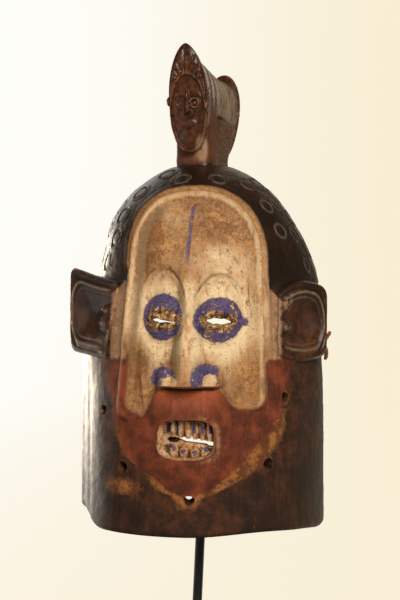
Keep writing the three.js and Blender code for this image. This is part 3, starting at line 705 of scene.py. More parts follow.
def crest_face_ring(face, scale):
    """One ring of a small face: a sunken oval field with the features raised on it."""
    across = face["half"] * scale * np.sin(full_turn(CREST_SIDES))
    up = face["reach"] * scale * np.cos(full_turn(CREST_SIDES))
    side = np.abs(across)
    eye = np.hypot(side - 6.6, up - 8.5)
    worn = np.where(across * np.sign(face["end"]) < 0, 0.4, 1)
    ring = (1.9 * ridge(eye - 4.2, 1.5) + 1.2 * ridge(eye, 1.6)) * worn
    brow = 0.9 * ridge(up - 17.5 + 0.045 * (side - 5) ** 2, 3.4) * step(15, 12, side)
    nose = 3.4 * ridge(across, 3.0 + 0.16 * (14 - up)) * step(22, 15, up) * step(-3.5, 1, up)
    mouth = 1.9 * mound(np.hypot(across / 8, (up + 10) / 5), 0.8)
    mouth = mouth - 0.4 * ridge(up + 10, 1.2) * step(6, 5, side)
    chin = 1.2 * mound(np.hypot(across / 8, (up + 23) / 8))
    features = np.maximum.reduce([ring, brow, nose, mouth, chin])
    field = step(1, 0.9, scale) * (features - 2.0) + 1.2 * (1 - scale**2)
    return at_face_end(face, field + 0.6 * step(0.93, 1, scale), across, face["level"] + up)


def crest_heads():
    """Rear face from its middle outwards, sections to the front, and the front face inwards."""
    scales = np.concatenate([np.linspace(0.985, 0.84, 10), np.linspace(0.81, 0.03, 30)])
    shares = np.linspace(0.02, 1, 18)
    rear = [crest_face_ring(REAR_FACE, scale) for scale in scales[::-1]]
    rear += [crest_rim(REAR_FACE, share) for share in shares[::-1]]
    middle = [crest_section(forward) for forward in np.linspace(REAR_FACE["end"], FRONT_FACE["end"], 236)]
    front = [crest_rim(FRONT_FACE, share) for share in shares]
    front += [crest_face_ring(FRONT_FACE, scale) for scale in scales]
    return solid_of_rings("crest_heads", rear + middle + front)


# %% Neck and small ears of the crest
NECK_FOOT = 300
NECK_SPREAD = [(NECK_FOOT, 1.2), (322, 1.12), (334, 1.02), (344, 1), (440, 1)]
KNOBS = [
    ((60, -18.6, 390), (3, 4, 4.5)), ((61, 17.0, 385), (2.6, 4, 5.5)),
    ((-57, -15, 392), (3, 4, 5)), ((-57, 15, 392), (3, 4, 5)),
]


def neck_block(back, front, half, top, splay=0.0):
    """An upright block with rounded corners, wider at its foot and splayed under the head."""
    levels = np.linspace(NECK_FOOT, top, 44)
    spread = along_knots(NECK_SPREAD, levels) + splay * step(340, 376, levels)
    turn = full_turn(96)
    middle = (back + front) / 2
    forward = middle + (front - back) / 2 * spread[:, None] * squared(np.sin(turn), 0.38)
    sideways = half * spread[:, None] * squared(np.cos(turn), 0.38)
    points = crest_place(forward, sideways, levels[:, None])
    marks = 0.45 * tool_marks(points, 7, 11)[..., None]
    outward = points - crest_place(middle, 0, levels)[:, None]
    outward = outward / np.linalg.norm(outward, axis=-1, keepdims=True)
    return solid_of_rings("crest_neck", points + outward * marks)


def knob(place, radii, steps=24):
    """A small rounded knob: an ellipsoid as a stack of circles."""
    lift = np.linspace(-np.pi / 2 + 0.05, np.pi / 2 - 0.05, steps)[:, None]
    turn = full_turn(steps)[None, :]
    ball = [np.cos(lift) * np.cos(turn), np.cos(lift) * np.sin(turn), np.sin(lift) + 0 * turn]
    return solid_of_rings("crest_ear", np.stack(ball, -1) * radii + place)


crest = [crest_heads(), neck_block(14, 50, 16.6, 392), neck_block(-38, 22, 13.4, 378, 0.3)]
crest += [knob(crest_place(*place), radii) for place, radii in KNOBS]
print("solids of the crest:", [part.name for part in crest])

# %% [markdown]
# ## Hollow, mouth, eyes and tie holes
# What was cut away is modelled as solids too: the hollow for the wearer's head, the arch at the
# back, the bowl of the mouth, the gap between the teeth, the eye slits and the holes for a fibre
# collar, with a shallow pit at the left end of the gap. The teeth are small bars put back into the bowl.

# %% Hollow and back opening
ARCH_HALF_WIDTH = 78
ARCH_SPRING = 150
ARCH_FOOT = -10


def hollow_surface(angle, height):
    """The inside of the wall, flatter behind the face, with the marks of the gouge."""
    facing = step(np.radians(58), np.radians(34), np.abs(angle))
    beside = step(20, 55, height) * step(305, 260, height)
    points = dome_point(angle, height, mix(WALL, FACE_WALL, facing * beside), WALL)
    marks = np.minimum(0, 0.5 * tool_marks(points * (1, 1, 0.4), 11, 21) - 0.1)
    flare = 2.5 * np.clip(1 - np.clip(height, 0, None) / 3, 0, 1) ** 2
    return points + dome_normal(points) * (marks + flare)[..., None]


def oval(middle_x, middle_z, half_width, half_height, turn):
    """Points of an oval in X and Z at some angles round it."""
    return np.stack([middle_x + half_width * np.cos(turn), middle_z + half_height * np.sin(turn)], -1)


hollow_angles = np.linspace(-np.pi, np.pi, 150, endpoint=False)[None, :]
hollow_shares = np.concatenate([[-0.02, 0], np.linspace(0.003, 0.94, 90), np.linspace(0.945, 0.994, 12)])
hollow_levels = (DOME_HEIGHT - WALL) * hollow_shares[:, None]
hollow = solid_of_rings("hollow", hollow_surface(hollow_angles, hollow_levels))
arch_top = oval(0, ARCH_SPRING, ARCH_HALF_WIDTH, ARCH_HALF_WIDTH, np.linspace(0, np.pi, 48))
arch = [(-ARCH_HALF_WIDTH, ARCH_FOOT), (ARCH_HALF_WIDTH, ARCH_FOOT), *arch_top]
back_opening = prism_along_y("back_opening", arch, 40, 160)
print("points of the hollow:", len(hollow.data.vertices))

# %% Mouth
LIP_Y = -(HALF_DEPTH_FRONT + 6)
GUM_Y = LIP_Y + 15
MOUTH_HALF_WIDTH = 26
MOUTH_UP = 19
MOUTH_DOWN = 15.5
THROUGH_FACE = (-140, -60)
GAP_FOOT = [(-11, 0.2), (-4, -2.0), (6, -2.0), (14, -2.2), (16, -3.4), (21, -3.6)]
GAP_TOP = [(21, 1.2), (15, 1.4), (11, 2.9), (7, 2.0), (3, 3.2), (0, 2.0), (-5, 2.8), (-11, 1.4)]


def mouth_ring(depth, shrink, shift):
    """One level of the mouth's bowl: a rectangle with its corners on a superellipse."""
    turn = full_turn(96)
    below = np.sin(turn) < 0
    half_width = MOUTH_HALF_WIDTH - shrink
    x = MOUTH_X + shift + half_width * squared(np.cos(turn), np.where(below, 0.75, 0.6))
    tall = np.where(below, MOUTH_DOWN, MOUTH_UP) - 0.35 * shrink
    return np.stack([x, depth + 0 * x, MOUTH_HEIGHT + tall * squared(np.sin(turn), 0.6)], -1)


def bowl_ring(share):
    """A ring between gums and lips: the bowl widens by a root, fast at first."""
    narrow = 1 - np.sqrt(share)
    return mouth_ring(mix(GUM_Y, LIP_Y + 3, share), 6 * narrow, 2.5 * narrow)


def gap_level(x):
    """The bite runs down a little towards the right."""
    return MOUTH_HEIGHT - 0.11 * (x - 3)


bowl_rings = [mouth_ring(GUM_Y, 9, 2.5)] + [bowl_ring(share) for share in np.linspace(0, 1, 16)]
bowl_rings += [mouth_ring(LIP_Y, -1.2, 0), mouth_ring(LIP_Y - 12, -2, 0)]
bowl = solid_of_rings("bowl", bowl_rings)
gap_outline = [(x, gap_level(x) + rise) for x, rise in GAP_FOOT + GAP_TOP]
gap = prism_along_y("gap", gap_outline, *THROUGH_FACE)
pit = prism_along_y("pit", oval(-14, 84.6, 5, 2.8, full_turn(24)), THROUGH_FACE[0], -102)
print("depth of the mouth's bowl:", GUM_Y - LIP_Y)

# %% Eye slits
SLIT_HALF_WIDTH = 11
SLIT_DROP = 2.6


def slit_outline(side):
    """A lens, pointed at both corners, with a slightly ragged edge; the left one is half shut."""
    turn = full_turn(40)
    across = np.cos(turn)
    middle, fall, height = side * SLIT_X, -0.4 * across, 2.6
    if side < 0:
        middle, fall, height = middle + 0.5, -1.3 * across, mix(0.7, 2.1, step(0.2, -0.6, across))
    ragged = 0.12 * height * (np.sin(7 * turn + side) + 0.6 * np.sin(13 * turn))
    z = EYE_HEIGHT - SLIT_DROP + fall + height * squared(np.sin(turn), 1.2) + ragged
    return np.stack([middle + SLIT_HALF_WIDTH * across, z], -1)


slits = [prism_along_y("slit", slit_outline(side), *THROUGH_FACE) for side in (-1, 1)]
print("eye slits:", len(slits))

# %% Tie holes
TIE_HOLES = [
    (-43.7, 108, 4), (-30.9, 59, 4.5), (0.4, 31.7, 4.5), (35.7, 62.5, 4.5), (45.3, 120, 4),
    (-97, 154.5, 3.5), (97, 163, 4.5),
]
HOLE_STEPS = [(-30, 0), (-8, 0), (-2.5, 0), (0, 0.7), (1.5, 1.6), (12, 1.6)]


def tie_hole(angle, height, radius):
    """A burnt hole along the dome's radius, flared outside; the one in the chin climbs inwards."""
    turn = np.radians(angle)
    wall_point = dome_point(turn, height)
    out = np.array([np.sin(turn), -np.cos(turn), 0])
    side = np.array([np.cos(turn), np.sin(turn), 0])
    climb = np.array([-0.1, 0, 0.35]) if abs(angle) < 1 else np.zeros(3)
    around = full_turn(32)
    rings = []
    for depth, flare in HOLE_STEPS:
        reach = radius + flare + 0.25 * np.sin(3 * around + angle)
        ring = wall_point + out * depth - climb * depth + np.outer(reach * np.cos(around), side)
        rings.append(ring + np.outer(reach * np.sin(around), (0, 0, 1)))
    return solid_of_rings("tie_hole", rings)


holes = [tie_hole(*hole) for hole in TIE_HOLES]
print("tie holes:", len(holes))

# %% Teeth
UPPER_TEETH = [MOUTH_X - 11.6 + 6.3 * number for number in range(6)]
LOWER_TEETH = [-13.3, -4.6, 5.1, 14.4]


def tooth(x, foot, tip, half_width, tip_share):
    """A bar with a rounded front that narrows towards its tip."""
    share = np.linspace(0, 1, 22)[:, None]
    width = half_width * mix(1, tip_share, step(0.55, 1, share))
    turn = full_turn(26)[None, :]
    front = 4.5 * np.sin(turn) * np.sqrt(width / half_width)
    z = mix(foot, tip, share) + 0 * turn
    return solid_of_rings("tooth", np.stack([x + width * np.cos(turn), GUM_Y + 1.5 + front, z], -1))


teeth = [tooth(x, 100.5, gap_level(x) + 1.6, 3.3, 0.6) for x in UPPER_TEETH]
teeth += [tooth(x, 67.5, gap_level(x) - 4.2, 4.5, 0.45) for x in LOWER_TEETH]
print("teeth above and below:", len(UPPER_TEETH), len(LOWER_TEETH))

# %% [markdown]
# ## One block
# Ears and crest are united with the body first, then everything that was cut away goes in one
# cut, and the teeth come last. Carving with fine grids leaves far more faces than flat wood
# needs, so a Decimate modifier thins them where the surface is plain.

# %% Carve the block
FACES_AIM = 188000
SHARP_ANGLE = np.radians(48)


def count_triangles(mesh):
    """Corners of all faces less two for each face."""
    return len(mesh.loops) - 2 * len(mesh.polygons)


added = combine(ears[0], ears[1:] + crest, "UNION")
cutter = combine(hollow, [back_opening, bowl, gap, pit, *slits, *holes], "UNION")
mask = combine(body, [added], "UNION")
mask = combine(mask, [cutter], "DIFFERENCE")
mask = combine(mask, [combine(teeth[0], teeth[1:], "UNION")], "UNION")
carved_triangles = count_triangles(mask.data)
thin = mask.modifiers.new("thin", "DECIMATE")
thin.ratio = FACES_AIM / carved_triangles
apply_modifiers(mask)
mask.data.name = "mask_visual"
with bpy.context.temp_override(
    active_object=mask, object=mask, selected_objects=[mask], selected_editable_objects=[mask]
):
    bpy.ops.object.shade_smooth_by_angle(angle=SHARP_ANGLE)
print("triangles carved and kept:", carved_triangles, count_triangles(mask.data))

# %% [markdown]
# ## Where the paint goes
# Paint follows the carving, so each zone with an edge is stored on the mesh as the distance from
# that edge in millimetres. The material compares it with noise, which gives a worn, ragged edge at
# any mesh density. Soft tones, painted shade and painted highlights among them, are stored as
# shares from 0 to 1, and a last field says how sharply the surface bends, for wear, grime and
# painted shade in the creases.

# %% Where each point lies
FAR = 60
CREST_OVER = 338
CREST_OVAL_DEPTH = 127


def point_values(name):
    """Three numbers for each point of the mask, such as its place or its normal."""
    values = np.empty(len(mask.data.vertices) * 3, np.float32)
    mask.data.vertices.foreach_get(name, values)
    return values.reshape(-1, 3)


def zone(name, values):
    """Stores one number for each point of the mesh."""
    attribute = mask.data.attributes.new(name, "FLOAT", "POINT")
    attribute.data.foreach_set("value", np.asarray(values, np.float32))


def spot(centre_x, centre_z, half_width, half_height):
    """1 in the middle of a soft oval spot, 0 on its edge and less outside."""
    return 1 - np.hypot((x - centre_x) / half_width, (z - centre_z) / half_height)


places = point_values("co").astype(float) / MILLIMETRE - (0, 0, RIM_HEIGHT)
normals = point_values("normal")
x, y, z = places.T
plain_skin = dome_point(np.arctan2(x - lean(z), -y), np.clip(z, 0, DOME_HEIGHT - 0.5))
outside_by = np.hypot(x, y) - np.hypot(plain_skin[:, 0], plain_skin[:, 1])
facing_out = np.einsum("ij,ij->i", normals, dome_normal(places))
in_oval = 1 - np.clip((x / HALF_WIDTH) ** 2 + (y / CREST_OVAL_DEPTH) ** 2, 0, 1)
over_dome = z - CREST_OVER * in_oval**0.25
in_crest = step(-2, 3, over_dome) * step(318, 326, z) * step(60, 45, np.abs(x)) * step(-60, -50, y)
inner_wall = (facing_out < -0.2) & (outside_by < -8) & (z < 330)
on_front = (y < 5) & (outside_by > -19) & (in_crest < 0.5) & ~inner_wall
print("points to paint:", len(places), "of them in front:", on_front.sum())


# %% Zones of the eyes and nose
def line_away(across, middle, half_length):
    """Distance from an upright line that ends a half length over and under its middle."""
    return np.abs(across) + np.maximum(0, np.abs(z - middle) - half_length)


def eye_distance():
    """Distance from the middle of an eye's blue disc, with a drop at the right one's corner."""
    discs = np.minimum(np.hypot(1.12 * (x + 24.6), z - 191), np.hypot(x - 24.8, 1.05 * (z - 188.6)))
    return np.minimum(discs, 18 + np.hypot(x - 47, z - 187) * 0.8)


def nose_zones():
    """The blue of both nostrils and the worn clay in it, cut off under the nose's base."""
    left = np.minimum(11 - np.hypot((x + 22) / 1.1, z - 138), 14 - np.abs(x + 24))
    right = np.minimum(12 - np.hypot((x - 15.5) / 1.05, z - 139), 26 - x)
    worn = np.maximum(spot(-15, 134, 8, 6), spot(19, 136, 6.5, 7.5))
    over_base = np.where(z < NOSE_BASE, -9, 9)
    return np.minimum(np.maximum(left, right), over_base), np.minimum(worn, over_base)


# %% Zones of the clay and its sides
RED_TOP = 154
OCHRE_HEIGHTS = [36, 44, 60, 80, 95, 115]
OCHRE_WIDTHS = [11, 14, 21, 18, 12, 4]
CREAM_SPOTS = [
    (0.35, -2, 178, 13, 55), (0.5, 34, 165, 34, 34), (0.55, 38, 226, 30, 34), (-0.6, -42, 262, 20, 46),
    (0.3, -22, 282, 26, 22), (-0.5, 20, 268, 20, 16), (-0.5, -50, 150, 14, 40), (0.4, -28, 158, 12, 26),
    (-0.3, 46, 150, 14, 30), (0.4, 18, 246, 26, 28),
]


def cream_amount(eye_away):
    """How much of the last cream coat shows: most round the eyes, along the bead's top and the nose's
    bridge, less towards the top, and more or less in listed spots.
    """
    amount = 0.62 * step(46, 24, eye_away) - 0.1 * step(235, 270, z)
    amount = amount + sum(weight * spot(*place).clip(0) for weight, *place in CREAM_SPOTS)
    amount = amount + 0.25 * ridge(inside_bead(x, z) + 1, 5) * step(180, 230, z)
    return amount + 0.15 * step(9, 4, np.abs(x - 3)) * step(135, 150, z) * step(236, 215, z)


def side_strips():
    """Distance in from the edges of the pale strips between the frame and the ears."""
    width = np.where(x < 0, x + 74, 80 - x)
    strip = np.minimum(np.minimum(-inside_frame(x, z) + 3, width), z - RED_TOP + 3)
    return np.minimum(strip, 224 - 0.9 * np.abs(np.abs(x) - 60) - z)


def ochre_strip():
    """Distance in from the ochre band along the beard, with a loose patch at its left."""
    width = np.interp(z, OCHRE_HEIGHTS, OCHRE_WIDTHS)
    width = np.where(x > 8, width, mix(11, 4, step(44, 60, z)))
    band = np.minimum(beard_inside(x, z) + width, step(118, 104, z) * 40 - 20)
    return np.maximum(band, 9 * spot(-60, 42, 22, 9))


# %% Painted shade and light on the face
def painted_groove_shade():
    """Painted shade in the groove inside the bead on the left, and on the nose's left flank."""
    groove = ridge(inside_bead(x, z) - 7.5, 5.5) * step(-20, -30, x)
    groove = groove * mix(0.45, 1, step(130, 190, z))
    return np.maximum(groove, 0.8 * (1.6 * spot(-9.5, 172, 6.5, 54)).clip(0, 1))


def bead_crest_wear_and_highlight():
    """The bead's crest, where the last coat is worn whitest and a highlight is painted."""
    lit = ridge(panel_inside(x, z) - 0.5, 2.3) * np.where(x < 0, step(166, 190, z), step(112, 125, z))
    return lit * step(28, 46, np.abs(x) + 40 * step(190, 240, z))


def brow_shade():
    """Painted shade: a dark line under each brow's arch, weaker on the right."""
    shade = np.where(x < 0, 1, 0.7) * ridge(socket_share(x, z) - 0.95, 0.045)
    return shade * step(204, 214, z) * step(44, 34, np.abs(np.abs(x) - EYE_X) + 12)


def lip_block_painted_light():
    """Painted light: the block over the mouth and its two seams, painted brighter."""
    block = step(-36, -26, x) * step(33, 23, x) * step(103, 126, z) * step(131, 127, z)
    return block + 0.5 * lip_seams(x, 1.4) * step(100, 108, z) * step(130, 126, z)


# %% Store the painted zones
eye_away = eye_distance()
nose_blue, nose_worn = nose_zones()
paint_in = soft_min(inside_frame(x, z), z - panel_foot(x) - 1.5, 14)
scratches = [(x - 51.5 - 0.12 * (204 - z), 204, 15), (x - 56 - 0.02 * z, 21, 20)]
distances_in = {
    "clay_in": paint_in - 4.5 * step(164, 154, z) * step(-40, -48, x),
    "edge_in": inside_frame(x, z),
    "beard_in": np.minimum(beard_inside(x, z), RED_TOP - z),
    "side_in": side_strips(),
    "ochre_in": ochre_strip(),
    "eye_in": EYE_RADIUS - 0.5 - eye_away,
    "lid_in": np.maximum(spot(-24, 189, 16.5, 10.5), spot(25, 187.5, 17, 9.5)),
    "nose_blue_in": nose_blue,
    "nose_worn_in": nose_worn,
}
# Among these shares are painted shade in the groove and under the brows, and painted light on the bead and
# the block over the mouth.
shares = {
    "cream": cream_amount(eye_away),
    "groove": painted_groove_shade(),
    "brow_line": brow_shade(),
    "bead_wear_and_highlight": bead_crest_wear_and_highlight(),
    "gilt": (1.5 * spot(0, 166, 4.5, 56)).clip(0, 1),
    "lip_block": lip_block_painted_light(),
}
distances_away = {
    "line_away": line_away(brow_line_away(x, z), 264, 25),
    "scratch_away": np.minimum.reduce([line_away(*scratch) for scratch in scratches]),
}
for elsewhere, fields in ((-FAR, distances_in), (0, shares), (FAR, distances_away)):
    for name, values in fields.items():
        zone(name, np.where(on_front, values, elsewhere))
print("painted zones:", len(distances_in) + len(shares) + len(distances_away))


# %% Zones of the ears
def ear_zones(side):
    """Shares for the painted highlights on the ear's thin double line and its lobes, for the points on the
    front of one ear.
    """
    root, along, width = ear_plate(side, z.clip(0, 300))
    from_root = places[:, :2] * (side, 1) - root
    across = np.einsum("ij,ij->i", from_root, along)
    out_of_plate = from_root[:, 0] * along[:, 1] - from_root[:, 1] * along[:, 0]
    _, bowl_by, up = ear_edges(side, across / width, z, width)
    is_front = (across > 4) & (side * x > 70) & (out_of_plate > -12)
    is_front = is_front & (up > 0) & (up < 1) & (normals[:, 1] < 0)
    double = (ridge(bowl_by, 1.2) + 0.5 * ridge(bowl_by - 2.6, 0.8)) * step(6, 14, across)
    lobe = (0.35 if side < 0 else 1) * ear_lobes(side, up, 0.8) * step(19, 13, across)
    return is_front * double, is_front * lobe


left_zones, right_zones = ear_zones(-1), ear_zones(1)
zone("ear_line_highlight", left_zones[0] + right_zones[0])
zone("ear_lobe", left_zones[1] + right_zones[1])
print("points on the ears' lines:", (left_zones[0] + right_zones[0] > 0).sum())

# %% Zones of the mouth, the cap and the crest
TOOTH_BLUE = [-18.1, -10.6, 4.7, 11.7, 19.1]
LOW_BLUE = [(-14.2, 77), (-5, 73.6), (5.1, 72.8), (15.5, 76.5)]


def mouth_zones():
    """The bowl, the blue between its teeth, and the lip's right edge, worn and with a painted highlight."""
    in_bowl = (y > LIP_Y + 2.2) & (np.abs(x - MOUTH_X) < MOUTH_HALF_WIDTH + 1) & (z > 66) & (z < 103)
    in_bowl = in_bowl & (y < -98) & (outside_by < 4)
    stripes = np.maximum.reduce([1.7 - np.abs(x - place) for place in TOOTH_BLUE])
    stripes = np.minimum(stripes, np.minimum(z - 90, 104 - z))
    low_spots = np.maximum.reduce([2.8 - np.hypot(x - a, z - b) for a, b in LOW_BLUE])
    half_height = np.where(z < MOUTH_HEIGHT, MOUTH_DOWN, MOUTH_UP)
    across, up = np.abs(x - MOUTH_X) / MOUTH_HALF_WIDTH, np.abs(z - MOUTH_HEIGHT) / half_height
    edge = ridge(across**3.6 + up**3.6 - 1.4, 0.5) * step(4, 18, x) * (outside_by > 0)
    blue = np.where(in_bowl, np.maximum(stripes, low_spots), -FAR)
    return {"bowl_in": in_bowl, "tooth_blue": blue, "lip_edge_wear_and_highlight": edge}


def crest_zones():
    """The barrel between the heads, painted with a reflection, the two necks, a painted highlight on the
    front neck, the front face's rim and the combed hair.
    """
    from_x, from_y = x - CREST_CENTRE[0], y - CREST_CENTRE[1]
    forward = -from_x * np.sin(CREST_TURN) - from_y * np.cos(CREST_TURN)
    sideways = from_x * np.cos(CREST_TURN) - from_y * np.sin(CREST_TURN)
    barrel_reflection = step(26, 16, forward) * step(-58, -48, forward) * step(376, 386, z) * step(424, 414, z)
    neck = np.where(forward > 13, step(398, 372, z), step(380, 374, z)) * step(58, 54, forward)
    face_from = np.hypot(sideways / FRONT_FACE["half"], (z - FRONT_FACE["level"]) / FRONT_FACE["reach"])
    unleaned = forward - crest_lean(forward, z)
    comb = ridge((unleaned / GROOVE_PITCH) % 1 - 0.5, 0.3) * step(60, 57, np.abs(unleaned))
    return {
        "crest_in": np.ones(len(x)),
        "barrel_reflection": barrel_reflection * step(0, 3, sideways),
        "neck": neck,
        "neck_rear": neck * step(14, 11, forward),
        "neck_highlight": spot(3, 346, 7, 15).clip(0) * (y < -20),
        "crest_rim": ridge(face_from - 1.01, 0.045) * step(56, 60, forward),
        "comb": comb * step(362, 376, z) * mix(0.45, 1, step(5, 20, forward)),
    }


for name, values in mouth_zones().items():
    zone(name, values)
for name, values in crest_zones().items():
    zone(name, in_crest * values)
on_cap = step(0.5, -1.5, np.where(y < 0, inside_frame(x, z), -9)) * step(218, 223, z)
zone("cap_in", on_cap * (outside_by < 5) * (1 - in_crest))
zone("wall_in", step(232, 205, z) * (outside_by < 6) * step(-88, -60, x))
zone("dusty_ring", ring_share(places) * (outside_by < 4) * (outside_by > -6))
print("points of the crest:", (in_crest > 0.5).sum())

# %% Bend of the surface
pairs = np.empty(len(mask.data.edges) * 2, np.int32)
mask.data.edges.foreach_get("vertices", pairs)
first, second = pairs.reshape(-1, 2).T
neighbours = np.maximum(np.bincount(pairs, minlength=len(places)), 1)


def neighbour_mean(at_first, at_second):
    """Each point's mean of the numbers given for its edges, seen from either end."""
    total = np.bincount(first, at_first, len(places)) + np.bincount(second, at_second, len(places))
    return total / neighbours


away = places[second] - places[first]
length = np.linalg.norm(away, axis=1) ** 1.2
fall_first = -np.einsum("ij,ij->i", away, normals[first]) / length
fall_second = np.einsum("ij,ij->i", away, normals[second]) / length
bend = neighbour_mean(fall_first, fall_second)
for _ in range(3):
    bend = 0.4 * bend + 0.6 * neighbour_mean(bend[second], bend[first])
zone("bend", np.clip(bend / np.percentile(np.abs(bend), 97), -1.5, 1.5))
print("zones stored:", len(mask.data.attributes))

# %% [markdown]
# ## Writing materials as sums
# A shader is arithmetic on fields. A small class wraps one socket, so that ordinary operators add
# Math nodes, and one method adds any other node with its settings and inputs. A second class is a
# material: it keeps named noises, and lays one colour on another in patches of their mixture.


# %% A socket with arithmetic
class Field:
    """One output socket of a material's node tree, with arithmetic."""

    def __init__(self, tree, socket):
        self.tree = tree
        self.socket = socket

    def node(self, kind, settings=None, output=0, **inputs):
        """Adds a node; an input is its socket's name with underscores, or i and its number."""
        made = self.tree.nodes.new(kind)
        for name, value in (settings or {}).items():
            setattr(made, name, value)
        for name, value in inputs.items():
            target = made.inputs[int(name[1:]) if name[1:].isdigit() else name.replace("_", " ")]
            if isinstance(value, Field):
                self.tree.links.new(value.socket, target)
            else:
                target.default_value = value
        return Field(self.tree, made.outputs[output])

    def math(self, operation, other):
        """A Math node on this field and another one, or a number."""
        return self.node("ShaderNodeMath", {"operation": operation}, i0=self, i1=other)

    def __add__(self, other):
        return self.math("ADD", other)

    def __sub__(self, other):
        return self.math("SUBTRACT", other)

    def __mul__(self, other):
        return self.math("MULTIPLY", other)

    def __rsub__(self, other):
        return self * -1.0 + other

    __radd__ = __add__
    __rmul__ = __mul__

    def smooth(self, low, high):
        """0 below low, 1 above high and a soft step between; low may be the larger."""
        settings = {"interpolation_type": "SMOOTHSTEP"}
        inputs = {"From_Min": low, "From_Max": high}
        return self.node("ShaderNodeMapRange", settings, Value=self, **inputs)


# %% A finish
def colour(red, green, blue):
    """A colour named by its bytes, turned into the linear light that shaders use."""
    share = np.array([red, green, blue]) / 255
    linear = np.where(share < 0.04045, share / 12.92, ((share + 0.055) / 1.055) ** 2.4)
    return (*linear.tolist(), 1.0)


class Finish:
    """A new material with its Object coordinates at hand, and its noises by name."""

    def __init__(self, name):
        self.material = bpy.data.materials.new(name)
        self.material.use_nodes = True
        self.tree = self.material.node_tree
        self.tree.nodes.clear()
        coordinates = self.tree.nodes.new("ShaderNodeTexCoord")
        self.place = Field(self.tree, coordinates.outputs["Object"])
        self.noises = {}

    def zone(self, name):
        """A field stored on the mesh."""
        return self.place.node("ShaderNodeAttribute", {"attribute_name": name}, output=2)

    def noise(self, size_mm, detail=3.0, roughness=0.55, stretch=(1, 1, 1), shift=0.0):
        """Noise with features of a size in millimetres, from 0 to 1 round a half."""
        moved = {"Vector": self.place, "Scale": stretch, "Location": (shift, shift, shift)}
        look = {"Scale": 1000 / size_mm, "Detail": detail, "Roughness": roughness}
        return self.place.node(
            "ShaderNodeTexNoise", Vector=self.place.node("ShaderNodeMapping", **moved), **look
        )

    def mixed(self, **weights):
        """A weighted sum of the finish's noises, called by their names."""
        first, *others = [self.noises[name] * weight for name, weight in weights.items()]
        return sum(others, first)

    def blend(self, share, under, over):
        """Over laid on under where share is 1."""
        inputs = {"Factor": share, "i6": under, "i7": over}
        return self.place.node("ShaderNodeMix", {"data_type": "RGBA"}, output=2, **inputs)

    def lay(self, under, over, low, high, strength=1.0, **weights):
        """Over laid on under in patches, where a mixture of noises passes from low to high."""
        return self.blend(self.mixed(**weights).smooth(low, high) * strength, under, over)

    def output(self, shader):
        """Ends the tree with a shader and hands out the material."""
        ending = self.tree.nodes.new("ShaderNodeOutputMaterial")
        self.tree.links.new(shader.socket, ending.inputs["Surface"])
        return self.material

    def surface(self, bump, bump_mm, **inputs):
        """The Principled shader over a bump of a height in millimetres."""
        depth = bump_mm * MILLIMETRE
        normal = self.place.node("ShaderNodeBump", Height=bump, Strength=1.0, Distance=depth)
        return self.output(self.place.node("ShaderNodeBsdfPrincipled", Normal=normal, **inputs))


# %% [markdown]
# ## Wood, patina and paint
# Years of handling turned the bare wood nearly black and glossy, with reddish wood where it is
# rubbed and grey dust where it is not. On the face, cream clay lies over ochre and has worn into
# flecks; the beard is brick red, and the eyes and nostrils are blue. Some marks are painted light:
# highlights on the ears, the crest's neck, the bead and the lip, a reflection on the crest, and shade
# in grooves, creases and under the brows.

# %% Colours of the mask
BLACK = colour(24, 16, 11)
DARK = colour(46, 27, 14)
WARM = colour(98, 54, 27)
REDDISH = colour(104, 56, 32)
# Pale grey: dust in the cut rings, and painted reflections and highlights on the crest and ears.
DUST_AND_SHEEN = colour(150, 132, 108)
CREAM = colour(236, 206, 160)
PALE = colour(218, 182, 138)
OCHRE = colour(196, 144, 90)
GOLDEN = colour(160, 102, 50)
RUST = colour(132, 70, 34)
ORANGE = colour(184, 118, 66)
BROWN = colour(122, 82, 48)
# Olive, used only for painted shade.
OLIVE_SHADE = colour(116, 94, 62)
ROSE = colour(172, 132, 98)
RED = colour(136, 64, 36)
BRICK = colour(168, 84, 48)
RED_DARK = colour(80, 36, 20)
BLUE = colour(80, 68, 112)
VIOLET_GREY = colour(104, 92, 108)


